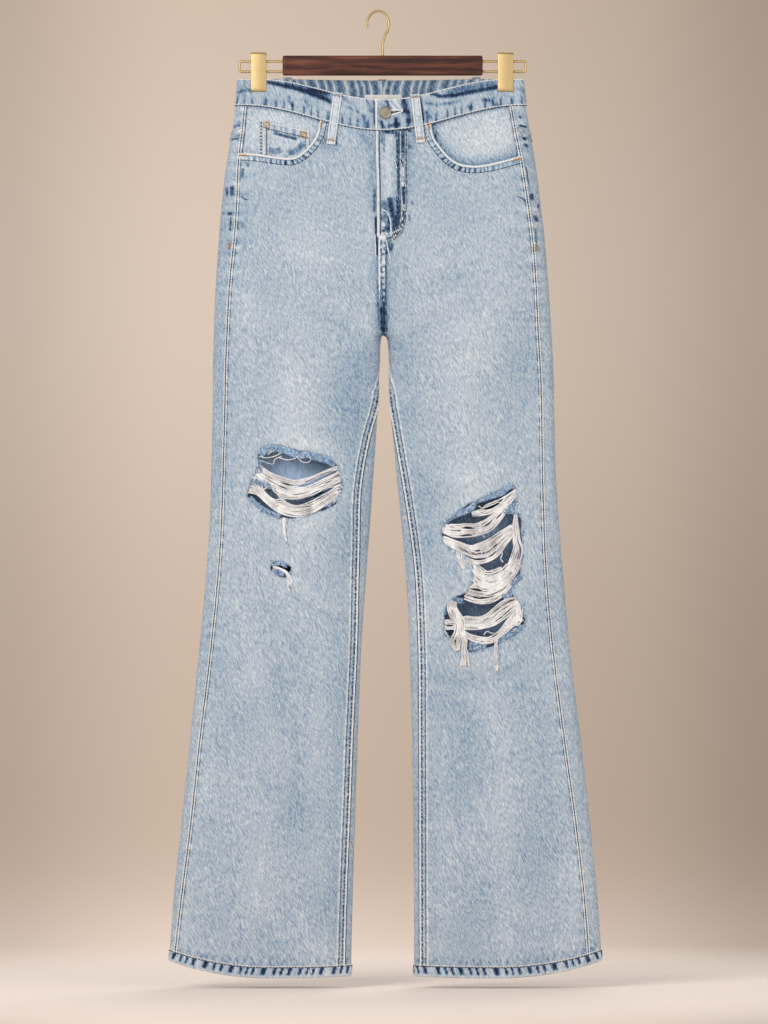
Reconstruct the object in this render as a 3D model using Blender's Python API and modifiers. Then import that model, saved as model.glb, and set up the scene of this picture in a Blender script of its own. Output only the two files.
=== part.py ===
"""Ripped jeans held by a clip hanger: straight bootcut denim jeans with torn knees.

Metres, +Z up. The origin is the inside of the hook's crown, where a rail carries it. +X is to the
right seen from the front, and the front of the jeans faces -Y. Left and right are as seen from the
front. The cloth hangs flattened: its sections are long ovals, worked out from the tables below.
"""

import math

import bmesh
import bpy
import numpy as np
from mathutils import Matrix

MM = 0.001
GAP = 0.3 * MM  # left between two pieces that meet
CLOTH = 1.6 * MM  # one layer of denim with its seam allowances
BAND = 2.6 * MM  # the waistband, two layers and a stiffening
BAND_PROUD = 0.8 * MM  # how far the waistband stands out of the panels below it

# Hanger
WIRE_R = 1.55 * MM
HOOK_R = 15.9 * MM  # radius of the hook's centre line
HOOK_TURN = math.radians(35)  # the hook is turned about its stem
STEM_OFFSET = 6.8 * MM  # from the middle of the hook's arc to its stem
MID_X = STEM_OFFSET * math.cos(HOOK_TURN)
MID_Y = -STEM_OFFSET * math.sin(HOOK_TURN)
BAR_SIZE = (236 * MM, 13 * MM, 23.5 * MM)
BAR_TOP = -51.3 * MM
BORE_R = WIRE_R + GAP
STEM_IN_BAR = 12 * MM
ROD_IN_BAR = 14 * MM
NECK_DROP = 9 * MM  # from the foot of the hook's arc to where its neck runs straight
NECK_BEND = np.array([4.6, 6.0]) * MM  # pulls the neck's curve back towards the stem
CORNER_R = 3.0 * MM  # of a wire loop's corners
ROD_DROPS = (58.0 * MM, 70.2 * MM)  # the two runs of each wire loop, below the hook's crown
LOOP_END = 168.8 * MM  # outer run of a wire loop, from the middle
CLIP_X = (-146.2 * MM, 145.0 * MM)
CLIP_WIDTH = 18.6 * MM
CLIP_TOP = -47.4 * MM
CLIP_HEIGHT = 46.8 * MM
CLIP_PLATE = 1.3 * MM
CLIP_INSIDE = 3.5 * MM  # from the middle plane to a jaw's inner face

# Jeans
WAIST_Z = -78.7 * MM  # top of the waistband at the sides; drops are measured down from it
CROTCH = 302 * MM
HEM = 1060 * MM
HEM_CURVE = (0.45, 2 * MM, 20 * MM)  # lowest this far across, and rising to the inner and outer edges
ROLL_POWER = 2.2  # how square the rolled edges of a section are
PINCH = 2.4 * MM  # half the depth under the clips
WAIST_OPENS = 12 * MM  # and more in the middle of the waist
OPENS_OVER = (38 * MM, 125 * MM)  # from the silhouette
FOLD_OPENS = 2.2 * MM
FOLD_OVER = (5 * MM, 12 * MM)
PINCH_FADE = (18 * MM, 108 * MM)  # drops over which the pinch gives way to the hips' depth
RISE = {"front": 70 * MM, "back": 105 * MM}  # the curved part of each rise, above the crotch
LEAST_RISE = 0.11  # share of the full depth left at the crotch

# The outline, in millimetres. left_out and right_out are the silhouettes' distances from the centre
# line, left_in and right_in those of the legs' inner edges. front and back are the half-depths.
# roll_out and roll_in say over what width a section curves in to its edge.
OUTLINE_NAMES = (
    "drop", "left_out", "left_in", "right_in", "right_out", "front", "back", "roll_out", "roll_in",
)  # fmt: skip
OUTLINE = np.array([
    (-10, 170.2, 0.0, 0.0, 165.3, 15, 15, 6, 30),
    (25, 173.0, 0.0, 0.0, 168.2, 17, 18, 10, 30),
    (60, 177.2, 0.0, 0.0, 173.4, 20, 22, 26, 30),
    (100, 184.2, 0.0, 0.0, 180.4, 23, 27, 50, 30),
    (145, 189.6, 0.0, 0.0, 186.2, 24, 30, 62, 28),
    (190, 193.2, 0.0, 0.0, 191.4, 24, 30, 68, 24),
    (245, 197.0, 0.0, 0.0, 195.8, 23, 27, 70, 20),
    (302, 199.2, 0.3, 0.3, 199.4, 22, 24, 70, 22),
    (330, 200.0, 4.2, 6.4, 201.0, 21, 22, 70, 34),
    (380, 200.4, 5.4, 8.7, 202.4, 20, 20, 70, 46),
    (430, 201.4, 8.2, 12.9, 203.4, 19, 19, 68, 52),
    (475, 202.5, 11.4, 17.2, 204.8, 18, 18, 64, 54),
    (520, 204.0, 14.4, 21.6, 208.0, 17, 17, 62, 54),
    (570, 207.2, 18.2, 26.2, 211.9, 17, 17, 62, 54),
    (662, 215.4, 24.4, 31.4, 219.9, 17, 17, 64, 56),
    (780, 227.3, 29.2, 34.7, 234.0, 18, 18, 68, 60),
    (875, 237.0, 32.4, 35.9, 244.6, 19, 19, 72, 62),
    (970, 247.0, 35.2, 37.0, 254.1, 19, 19, 74, 64),
    (1070, 253.4, 37.6, 37.2, 260.0, 19, 19, 76, 66),
]) * MM  # fmt: skip

# Where each seam lies on the front face, in millimetres in from the silhouette beside it.
SEAM_NAMES = ("drop", "left_outseam", "left_inseam", "right_inseam", "right_outseam")
SEAMS = np.array([
    (0, 10.0, 0.0, 0.0, 18.0),
    (60, 12.0, 0.0, 0.0, 17.0),
    (100, 14.5, 0.0, 0.0, 16.5),
    (145, 18.0, 0.0, 0.0, 15.5),
    (245, 17.0, 0.0, 0.0, 15.0),
    (302, 16.2, 0.2, 0.2, 16.0),
    (380, 15.0, 2.8, 3.0, 15.4),
    (425, 14.6, 12.0, 7.0, 15.8),
    (475, 14.4, 17.4, 10.8, 16.6),
    (570, 14.8, 14.0, 15.4, 20.0),
    (662, 14.0, 9.6, 15.2, 20.6),
    (780, 12.2, 10.4, 12.8, 20.0),
    (875, 11.8, 10.8, 11.8, 17.4),
    (970, 9.6, 11.6, 11.2, 16.4),
    (1070, 5.0, 11.8, 11.2, 14.6),
]) * MM  # fmt: skip

BAND_DIP = (24.5 * MM, 145 * MM)  # the waistband's front top edge dips in the middle, over this half
BAND_BACK_DIP = 1.2 * MM  # its back top edge dips a little
BAND_LOW = (30.0 * MM, 30.3 * MM, 165 * MM)  # its lower edge: at the sides, more in the middle, half
BAND_LOW_BACK = 6.0 * MM
BAND_ENDS = (22 * MM, -9 * MM)  # the left end runs under the right one, past the centre line
BAND_LIFT = (24 * MM, 48 * MM)  # the right end comes back to the panels over this stretch
FRONT_LIFT = (6 * MM, 30 * MM)
LAP_FADE = (185 * MM, 212 * MM)  # below the fly the lap closes to a plain seam
LIFT_FADE = (212 * MM, 262 * MM)
FRONT_ENDS = (3.7 * MM, -5.0 * MM)  # the right front laps over the left one at the fly
YOKE = (62 * MM, 108 * MM)  # the yoke seam's drop at the outseam and at the centre back
HIP_ROWS = 130 * MM  # below this a panel's rows are level
CUT_HALF = 30 * MM  # half the reach of a cutter, from the middle plane forwards

# Rows of the panels' meshes, as drops in millimetres
PANEL_ROWS = np.array([
    30, 46, 62, 92, 130, 170, 210, 250, 280, 302, 314, 340, 380, 430, 475, 520, 570, 640, 720, 820,
    930, 1060,
]) * MM  # fmt: skip

# The torn openings in the knees, as (from the centre line, drop) in millimetres
LEFT_RIP = np.array([
    (-147, 442), (-133, 432), (-101, 438), (-64, 447), (-51, 462), (-48, 480), (-54, 500),
    (-87, 514), (-121, 518), (-150, 503), (-159, 490), (-152, 471), (-145, 457),
]) * MM  # fmt: skip
SMALL_RIP = np.array([
    (-132, 575), (-124, 569), (-112, 573), (-108, 582), (-114, 588), (-126, 584),
]) * MM  # fmt: skip
RIGHT_RIP = np.array([
    (150, 480), (157, 486), (154, 508), (163, 520), (164, 558), (160, 590), (149, 601), (156, 612),
    (166, 630), (165, 648), (144, 662), (104, 675), (79, 657), (72, 640), (80, 617), (99, 603),
    (107, 588), (103, 568), (85, 556), (73, 548), (71, 528), (87, 513), (106, 499), (132, 489),
]) * MM  # fmt: skip

# A front pocket's mouth, as (from the centre line, drop) in millimetres, from the waistband to the side
LEFT_MOUTH = np.array([
    (-73.5, 50), (-76, 63), (-81, 73), (-88.5, 82), (-98, 90), (-107, 93.5), (-119, 93.2),
    (-132, 91.4), (-150, 88.8), (-176, 87),
]) * MM  # fmt: skip
RIGHT_MOUTH = np.array([
    (56, 51), (59, 67), (66.5, 79.5), (78.5, 93), (91, 100.5), (108, 103), (125, 101),
    (142, 97), (160, 92), (176, 88),
]) * MM  # fmt: skip
PATCH_GAP = 0.6 * MM  # clears the corners of the panel's facets
COIN_CLOTH = 1.4 * MM
COIN_POCKET = (-141 * MM, -86.5 * MM, 49 * MM, 62 * MM)  # its two sides, and its top's two drops
RIVETS = ((-136.6 * MM, 53.8 * MM), (-93.0 * MM, 66.0 * MM))
RIVET_R = 2.8 * MM
BUTTON = (2.8 * MM, 40.6 * MM)
BUTTON_R = 8.5 * MM
BUTTON_NECK_R = 1.5 * MM
BUTTONHOLE = (-1.0 * MM, 20.0 * MM, 1.9 * MM)  # its two ends from the centre line, and half its height
LABEL_CLOTH = 1.0 * MM
LABEL = (-20 * MM, 33 * MM, 17 * MM, 32 * MM)  # a blank label inside the back of the waistband

# Belt loops: (name, face, top and foot from the centre line, their drops), in millimetres
LOOPS = (
    ("belt_loop_front_left", "front", -52.6, -61.0, 16.5, 78.0),
    ("belt_loop_front_right", "front", 38.2, 45.0, 18.5, 76.0),
    ("belt_loop_back_left", "back", -112.0, -115.0, -2.0, 52.0),
    ("belt_loop_back_right", "back", 110.0, 113.0, -2.0, 52.0),
    ("belt_loop_back_middle", "back", 0.0, 0.0, 0.0, 56.0),
)
LOOP_WIDTH = 10.5 * MM
LOOP_CLOTH = 1.8 * MM

# Back pockets: middle from the centre line, top drop, half widths at top and foot, depths at sides
# and point
BACK_POCKET = (86 * MM, 128 * MM, 68 * MM, 58 * MM, 118 * MM, 143 * MM)

COLOURS = {
    "denim": (0.42, 0.55, 0.67), "denim_dark": (0.30, 0.42, 0.55), "brass": (0.72, 0.55, 0.27),
    "walnut": (0.09, 0.035, 0.025), "nickel": (0.45, 0.41, 0.36), "label": (0.85, 0.83, 0.80),
}  # fmt: skip
METALS = ("brass", "nickel")


def material(name):
    found = bpy.data.materials.get(name)
    if found:
        return found
    made = bpy.data.materials.new(name)
    made.use_nodes = True
    shader = made.node_tree.nodes["Principled BSDF"]
    shader.inputs["Base Color"].default_value = (*COLOURS[name], 1)
    shader.inputs["Metallic"].default_value = 1.0 if name in METALS else 0.0
    shader.inputs["Roughness"].default_value = 0.35 if name in METALS else 0.85
    made.diffuse_color = (*COLOURS[name], 1)
    return made


def keep(obj, name, finish, collection):
    """Names the object as a part with its material, in its collection."""
    obj.name = name
    obj.data.name = name
    obj.data.materials.clear()
    obj.data.materials.append(material(finish))
    for home in list(obj.users_collection):
        home.objects.unlink(obj)
    collection.objects.link(obj)
    return obj


def read(names, table, name, drop):
    """The named column of a table at any drop, by a cubic through its rows."""
    rows = table[:, 0]
    values = table[:, names.index(name)]
    slopes = np.gradient(values, rows)
    i = np.clip(np.searchsorted(rows, drop) - 1, 0, len(rows) - 2)
    step = rows[i + 1] - rows[i]
    t = np.clip((drop - rows[i]) / step, 0, 1)
    start = (2 * t**3 - 3 * t**2 + 1) * values[i] + (t**3 - 2 * t**2 + t) * step * slopes[i]
    end = (3 * t**2 - 2 * t**3) * values[i + 1] + (t**3 - t**2) * step * slopes[i + 1]
    return start + end


def outline(name, drop):
    return np.maximum(read(OUTLINE_NAMES, OUTLINE, name, drop), 0.0)


def ease(value, low, high):
    """0 below low, 1 above high, and a smooth step between."""
    t = np.clip((value - low) / (high - low), 0, 1)
    return t * t * (3 - 2 * t)


def hump(x, half):
    """1 on the centre line and 0 from half outwards."""
    return np.cos(np.clip(np.abs(x) / half, 0, 1) * math.pi / 2) ** 2


def band_top(x, front):
    return np.where(front, BAND_DIP[0] * hump(x, BAND_DIP[1]), BAND_BACK_DIP * hump(x, BAND_DIP[1]))


def band_low(x, front):
    more = np.where(front, BAND_LOW[1], BAND_LOW_BACK)
    return BAND_LOW[0] + more * hump(x, BAND_LOW[2])


def hem_drop(across):
    """The hem, by how far across the leg: 0 at its inner edge and 1 at its outer one."""
    lowest, inner_rise, outer_rise = HEM_CURVE
    inner = inner_rise * np.clip(1 - across / lowest, 0, 1) ** 2
    outer = outer_rise * np.clip((across - lowest) / (1 - lowest), 0, 1) ** 2
    return HEM - inner - outer


def rolled(inset, width, power=ROLL_POWER, closing=1.0):
    """How much of its full depth a section has, inset in from its edge."""
    t = closing * np.clip(1 - inset / width, 0, 1)
    return np.clip(1 - t**power, 0, 1) ** (1 / power)


def depth(face, inset, drop):
    """Half the depth of the cloth before its edges roll in. The clips pinch the waist, which opens
    towards the middle and a little in the fold at each side."""
    pinched = PINCH + WAIST_OPENS * ease(inset, *OPENS_OVER) + FOLD_OPENS * (1 - ease(inset, *FOLD_OVER))
    share = ease(drop, *PINCH_FADE)
    return pinched * (1 - share) + outline(face, drop) * share


def closing_at(face, drop):
    """The rise: the cloth folds in to the crotch along the centre line. 1 is closed and 0 is flat."""
    up = np.clip((CROTCH - drop) / RISE[face], 0, 1)
    share = np.maximum(np.sqrt(1 - (1 - up) ** 2), LEAST_RISE)
    closed = (1 - share**ROLL_POWER) ** (1 / ROLL_POWER)
    return np.where(drop >= CROTCH, 1.0, closed)


def ring(side, drop, turn):
    """Points of the cloth's outer face at a drop. turn is 0 at the outer edge and pi at the inner
    edge over the front, and goes negative round the back."""
    out = outline(side + "_out", drop)
    inner = outline(side + "_in", drop)
    width = out - inner
    inset = width * (1 - np.cos(turn)) / 2
    front = np.sin(turn) > 0
    x = (out - inset) * (-1 if side == "left" else 1)
    both = []
    for face in ("front", "back"):
        edge = rolled(inset, np.minimum(outline("roll_out", drop), width * 0.5))
        middle = rolled(width - inset, outline("roll_in", drop), closing=closing_at(face, drop))
        both.append(depth(face, inset, drop) * edge * middle)
    return x, np.where(front, -both[0], both[1])


def seam_turn(side, seam, drop):
    """The turn at which a seam crosses the section, on its front face."""
    out = outline(side + "_out", drop)
    width = out - outline(side + "_in", drop)
    inset = read(SEAM_NAMES, SEAMS, side + "_" + seam, drop)
    if seam == "inseam":
        inset = width - (inset if drop > CROTCH else 0.0)
    return math.acos(np.clip(1 - 2 * inset / width, -1, 1))


def path(side, span, drop, beyond=0.0):
    """The section's outer line over one piece, as points in X and Y. beyond carries it on past the
    centre line at the front."""
    outer = seam_turn(side, "outseam", drop)
    inner = seam_turn(side, "inseam", drop)
    if span == "front":
        turns = np.linspace(outer, inner, 160)
    elif span == "back":
        turns = np.linspace(outer, inner - 2 * math.pi, 320)
    else:  # all round, from the centre back
        turns = np.linspace(-math.pi, math.pi, 400)
    x, y = ring(side, drop, turns)
    line = np.stack([x, y], axis=1)
    if beyond:
        sign = 1 if side == "left" else -1
        reach = sign * beyond
        if reach > 0:
            extra = np.linspace(0, 1, 8)[1:, None] * np.array([beyond - x[-1], 0]) + line[-1]
            line = np.concatenate([line, extra])
    return line


def spaced(line, count, trim, sign, bend=10 * MM):
    """count points along a line, its ends trimmed, closer together where it bends. Each row holds
    X, Y and the outward normal's X and Y."""
    steps = np.diff(line, axis=0)
    lengths = np.hypot(steps[:, 0], steps[:, 1])
    at = np.concatenate([[0], np.cumsum(lengths)])
    angle = np.unwrap(np.arctan2(steps[:, 1], steps[:, 0]))
    turning = np.abs(np.diff(angle, prepend=angle[0]))
    weight = np.concatenate([[0], np.cumsum(lengths + bend * turning)])
    low = np.interp(trim, at, weight)
    high = np.interp(at[-1] - trim, at, weight)
    wanted = np.linspace(low, high, count)
    x, y = (np.interp(wanted, weight, line[:, k]) for k in (0, 1))
    heading = np.interp(wanted, (weight[1:] + weight[:-1]) / 2, angle)
    return np.stack([x, y, sign * np.sin(heading), -sign * np.cos(heading)], axis=1)


def skin(side, span, count, beyond=None, trim=GAP / 2):
    """A piece's outer face as level rows every 4 mm: (drops, rows of points and normals)."""
    drops = np.arange(-10, 1071, 4) * MM
    sign = (1 if side == "left" else -1) * (-1 if span == "back" else 1)
    rows = []
    for drop in drops:
        past = beyond(drop) if beyond else 0.0
        rows.append(spaced(path(side, span, drop, past), count, trim, sign))
    return drops, np.array(rows)


def at_drops(drops, rows, wanted):
    """The skin at the wanted drops, an array of rows by columns: points, and their normals."""
    found = np.empty(wanted.shape + (4,))
    for column in range(wanted.shape[1]):
        for k in range(4):
            found[:, column, k] = np.interp(wanted[:, column], drops, rows[:, column, k])
    points = np.dstack([found[..., 0], found[..., 1], -wanted])
    normals = np.dstack([found[..., 2], found[..., 3], np.zeros(wanted.shape)])
    return points, normals / np.linalg.norm(normals, axis=-1, keepdims=True)


def in_frame(points):
    """From the jeans' own centre line and waist to the hook's crown."""
    return points + np.array([MID_X, MID_Y, WAIST_Z])


def wall(name, outer, inner, finish, collection):
    """A closed wall between two grids of points."""
    rows, columns = outer.shape[:2]
    points = np.concatenate([in_frame(outer).reshape(-1, 3), in_frame(inner).reshape(-1, 3)])
    index = np.arange(rows * columns).reshape(rows, columns)
    back = index + rows * columns
    faces = []
    for r in range(rows - 1):
        for c in range(columns - 1):
            faces.append((index[r, c], index[r + 1, c], index[r + 1, c + 1], index[r, c + 1]))
            faces.append((back[r, c], back[r, c + 1], back[r + 1, c + 1], back[r + 1, c]))
    rim = list(index[0, :]) + list(index[1:, -1]) + list(index[-1, -2::-1]) + list(index[-2:0:-1, 0])
    for a, b in zip(rim, rim[1:] + rim[:1]):
        faces.append((a, b, b + rows * columns, a + rows * columns))
    mesh = bpy.data.meshes.new(name)
    mesh.from_pydata([tuple(p) for p in points], [], [tuple(int(i) for i in f) for f in faces])
    solid = bmesh.new()
    solid.from_mesh(mesh)
    bmesh.ops.triangulate(solid, faces=solid.faces)
    bmesh.ops.recalc_face_normals(solid, faces=solid.faces)
    solid.to_mesh(mesh)
    solid.free()
    obj = bpy.data.objects.new(name, mesh)
    return keep(obj, name, finish, collection)


def lap_reach(side):
    end = FRONT_ENDS[0 if side == "left" else 1]
    return lambda drop: end * (1 - float(ease(drop, *LAP_FADE)))


def lifted(points, amount, low, high):
    """Pieces that lap over others at the fly stand forward there, and come back beyond it."""
    share = (1 - ease(points[..., 0], low, high)) * (points[..., 1] < 0)
    result = points.copy()
    result[..., 1] -= amount * share * (1 - ease(-points[..., 2], *LIFT_FADE))
    return result


def level_rows(top, foot, rows):
    """Drops of a panel's mesh: rows follow its top edge, then lie level, then reach its hem."""
    found = np.empty((len(rows), len(top)))
    for k, row in enumerate(rows):
        upper = top + (row - rows[0]) * (HIP_ROWS - top) / (HIP_ROWS - rows[0])
        found[k] = upper if row < HIP_ROWS else row
    found[-1] = foot
    return found


def across_leg(side, x):
    """How far across the leg a point of the hem is, from its inner edge."""
    out = outline(side + "_out", HEM)
    inner = outline(side + "_in", HEM)
    return np.clip((np.abs(x) - inner) / (out - inner), 0, 1)


def front_panels(parts, cutters):
    """The fronts of the legs, and behind each pocket's mouth the denim that backs it. Returns the
    backing's outer face on the left, which the coin pocket lies on."""
    backings = {}
    for side in ("left", "right"):
        drops, rows = skin(side, "front", 15, lap_reach(side))
        x_top = rows[10, :, 0]
        top = band_low(x_top, True) + GAP
        foot = hem_drop(across_leg(side, rows[-3, :, 0]))
        wanted = level_rows(top, foot, PANEL_ROWS)
        outer, normals = at_drops(drops, rows, wanted)
        if side == "right":
            outer = lifted(outer, CLOTH + GAP, *FRONT_LIFT)
        panel = wall("front_" + side, outer, outer - normals * CLOTH, "denim", parts)
        mouth = LEFT_MOUTH if side == "left" else RIGHT_MOUTH
        covered = np.abs(outer[0, :, 0]) > abs(mouth[0, 0]) - 14 * MM
        hip_rows = PANEL_ROWS <= HIP_ROWS
        face = (outer - normals * (CLOTH + GAP))[hip_rows][:, covered]
        inner = face - normals[hip_rows][:, covered] * CLOTH
        wall("pocket_facing_" + side, face, inner, "denim_dark", parts)
        backings[side] = face
        corner = np.array([(mouth[-1, 0], 20 * MM), (mouth[0, 0], 20 * MM)])
        cut(panel, "mouth_" + side, np.concatenate([mouth, corner]), cutters)
        if side == "left":
            cut(panel, "rip_left", rounded(LEFT_RIP), cutters)
            cut(panel, "rip_small", rounded(SMALL_RIP), cutters)
        else:
            cut(panel, "rip_right", rounded(RIGHT_RIP, 2), cutters)
    return backings


def rounded(outline_points, steps=3):
    """A closed smooth line through an outline's points."""
    before = np.roll(outline_points, 1, axis=0)
    after = np.roll(outline_points, -1, axis=0)
    beyond = np.roll(outline_points, -2, axis=0)
    found = []
    for p0, p1, p2, p3 in zip(before, outline_points, after, beyond):
        for t in np.arange(steps) / steps:
            bend = (2 * p0 - 5 * p1 + 4 * p2 - p3) * t**2 + (3 * p1 - p0 - 3 * p2 + p3) * t**3
            found.append((2 * p1 + (p2 - p0) * t + bend) / 2)
    return np.array(found)


def cut(panel, name, outline_points, cutters):
    """Cuts an outline, seen from the front, through the front half of the jeans."""
    curve = bpy.data.curves.new(name, "CURVE")
    curve.dimensions = "2D"
    curve.fill_mode = "BOTH"
    curve.extrude = CUT_HALF + MM
    line = curve.splines.new("POLY")
    line.points.add(len(outline_points) - 1)
    line.use_cyclic_u = True
    for point, (x, drop) in zip(line.points, outline_points):
        point.co = (x + MID_X, WAIST_Z - drop, 0, 1)
    guide = bpy.data.objects.new(name, curve)
    guide.rotation_euler = (math.pi / 2, 0, 0)
    guide.location = (0, MID_Y - CUT_HALF, 0)
    cutters.objects.link(guide)
    bpy.context.view_layer.update()
    mesh = bpy.data.meshes.new_from_object(guide.evaluated_get(bpy.context.evaluated_depsgraph_get()))
    solid = bmesh.new()
    solid.from_mesh(mesh)
    bmesh.ops.remove_doubles(solid, verts=solid.verts, dist=1e-6)
    bmesh.ops.recalc_face_normals(solid, faces=solid.faces)
    solid.to_mesh(mesh)
    solid.free()
    cutter = bpy.data.objects.new(name, mesh)
    cutter.matrix_world = guide.matrix_world
    bpy.data.objects.remove(guide)
    hide(cutter, cutters)
    subtract(panel, cutter)


def hide(cutter, cutters):
    for home in list(cutter.users_collection):
        home.objects.unlink(cutter)
    cutters.objects.link(cutter)
    cutter.hide_render = True
    cutter.display_type = "WIRE"


def subtract(obj, cutter):
    modifier = obj.modifiers.new(cutter.name, "BOOLEAN")
    modifier.object = cutter
    modifier.operation = "DIFFERENCE"


def back_panels(parts):
    """The yokes, and below them the backs of the legs, which wrap round to the seams in front.
    Returns the outer faces of the backs, without what lies in front."""
    backs = {}
    for side in ("left", "right"):
        drops, rows = skin(side, "back", 25)
        share = np.linspace(0, 1, 25)
        seam = YOKE[0] + (YOKE[1] - YOKE[0]) * share
        front = rows[18, :, 1] < 0
        top = band_low(rows[10, :, 0], front) + GAP
        steps = np.array([0, 0.5, 1])[:, None]
        outer, normals = at_drops(drops, rows, top + (seam - GAP / 2 - top) * steps)
        wall("yoke_" + side, outer, outer - normals * CLOTH, "denim_dark", parts)
        foot = hem_drop(across_leg(side, rows[-3, :, 0]))
        below = PANEL_ROWS[PANEL_ROWS > YOKE[0] - MM]
        outer, normals = at_drops(drops, rows, level_rows(seam + GAP / 2, foot, below))
        wall("back_" + side, outer, outer - normals * CLOTH, "denim", parts)
        backs[side] = outer[:, outer[3, :, 1] > 0]
    return backs


def waistband(parts, cutters):
    for side, end, lift in (("left", BAND_ENDS[0], 0.0), ("right", BAND_ENDS[1], BAND + GAP)):
        drops, rows = skin(side, "round", 44, lambda drop, end=end: end)
        front = np.linspace(0, 1, 44) > 0.5
        x = rows[8, :, 0]
        top = band_top(x, front)
        low = band_low(x, front)
        steps = np.array([0, 0.5, 1])[:, None]
        face, normals = at_drops(drops, rows, top + (low - top) * steps)
        if lift:
            face = lifted(face, lift, *BAND_LIFT)
        outer = face + normals * BAND_PROUD
        inner = face + normals * (BAND_PROUD - BAND)
        band = wall("waistband_" + side, outer, inner, "denim_dark", parts)
        if side == "right":
            start, finish, half = BUTTONHOLE
            ends = [(finish - half, -90), (start + half, 90)]
            slot = []
            for middle, first in ends:
                for angle in np.radians(first + np.linspace(0, 180, 7)):
                    slot.append((middle + half * math.cos(angle), BUTTON[1] - half * math.sin(angle)))
            cut(band, "buttonhole", np.array(slot), cutters)


def pockets(backing, backs, parts):
    """The coin pocket on the left backing, with its rivets, and the two back pockets."""
    first, last, top_first, top_last = COIN_POCKET
    columns = np.linspace(first, last, 6)
    tops = np.interp(columns, (first, last), (top_first, top_last))
    mouth = LEFT_MOUTH[::-1]
    feet = np.interp(columns, mouth[:, 0], mouth[:, 1]) - MM
    face = laid_on(backing, columns, tops, feet, 4)
    patch("coin_pocket", face, -PATCH_GAP, -COIN_CLOTH, parts)
    for number, (x, drop) in enumerate(RIVETS, 1):
        around = np.linspace(x - RIVET_R, x + RIVET_R, 5)
        spread = np.full(5, RIVET_R)
        y = laid_on(backing, around, drop - spread, drop + spread, 5)[..., 1].min()
        profile = [(RIVET_R, 0), (RIVET_R, 0.5 * MM), (1.8 * MM, 1.2 * MM)]
        place = (x, y - PATCH_GAP - COIN_CLOTH - GAP, -drop)
        turned("coin_rivet_%d" % number, profile, place, "brass", parts)
    middle, top, half_top, half_foot, side_depth, point_depth = BACK_POCKET
    for side, sign in (("left", -1), ("right", 1)):
        columns = sign * middle + np.linspace(-half_top, half_top, 9)
        point = point_depth - (point_depth - side_depth) * np.abs(np.linspace(-1, 1, 9))
        taper = 1 - half_foot / half_top
        face = laid_on(backs[side], columns, np.full(9, top), top + point, 7, taper)
        patch("back_pocket_" + side, face, PATCH_GAP, CLOTH, parts)


def laid_on(panel, columns, tops, feet, count, taper=0.0):
    """Points on a panel's own facets, from tops to feet below the given places from the centre
    line. taper is the share of the width that is lost at the foot."""
    found = np.empty((count, len(columns), 3))
    for r, share in enumerate(np.linspace(0, 1, count)):
        for c, wide in enumerate(columns):
            x = wide + (np.mean(columns) - wide) * taper * share
            drop = tops[c] + (feet[c] - tops[c]) * share
            depths = []
            for row in panel:
                order = np.argsort(row[:, 0])
                depths.append([np.interp(x, row[order, 0], row[order, k]) for k in (2, 1)])
            depths = np.array(depths)
            found[r, c] = (x, np.interp(drop, -depths[:, 0], depths[:, 1]), -drop)
    return found


def patch(name, face, gap, cloth, parts):
    """A piece on a panel: gap clear of it and cloth thick, towards +Y where these are positive."""
    low = face + np.array([0, gap, 0])
    wall(name, low + np.array([0, cloth, 0]), low, "denim_dark", parts)


def face_depth(face, x, drop):
    """Y of the cloth's outer face at a place from the centre line."""
    side = "left" if x < 0 else "right"
    out = outline(side + "_out", drop)
    inner = outline(side + "_in", drop)
    turn = math.acos(np.clip(1 - 2 * (out - abs(x)) / (out - inner), -1, 1))
    turn = max(turn, 1e-6) if face == "front" else -turn
    return float(ring(side, drop, np.array([turn]))[1][0])


def belt_loops(parts):
    """Narrow straps standing just off the waistband, and on past its lower edge."""
    for name, face, top_x, foot_x, top, foot in LOOPS:
        grid = np.empty((6, 3, 3))
        for r, share in enumerate(np.linspace(0, 1, 6)):
            drop = (top + (foot - top) * share) * MM
            for c, across in enumerate((-0.5, 0, 0.5)):
                x = (top_x + (foot_x - top_x) * share) * MM + across * LOOP_WIDTH
                grid[r, c] = (x, face_depth(face, x, max(drop, 0)), -drop)
        if top_x > 0 and face == "front":
            grid = lifted(grid, BAND + GAP, *BAND_LIFT)
        out = np.array([0, -1 if face == "front" else 1, 0])
        low = out * (BAND_PROUD + GAP)
        wall(name, grid + low + out * LOOP_CLOTH, grid + low, "denim_dark", parts)


def turned(name, profile, place, finish, parts):
    """A turned piece with its axis along -Y. profile holds (radius, height) from back to front."""
    points = [(0, profile[-1][1])] + list(reversed(profile)) + [(0, profile[0][1])]
    edges = [(i, i + 1) for i in range(len(points) - 1)]
    mesh = bpy.data.meshes.new(name)
    mesh.from_pydata([(radius, 0, height) for radius, height in points], edges, [])
    obj = keep(bpy.data.objects.new(name, mesh), name, finish, parts)
    screw = obj.modifiers.new("turn", "SCREW")
    screw.steps = 20
    screw.render_steps = 20
    screw.use_merge_vertices = True
    screw.merge_threshold = 1e-5
    obj.rotation_euler = (math.pi / 2, 0, 0)
    obj.location = in_frame(np.array(place))
    return obj


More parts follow.
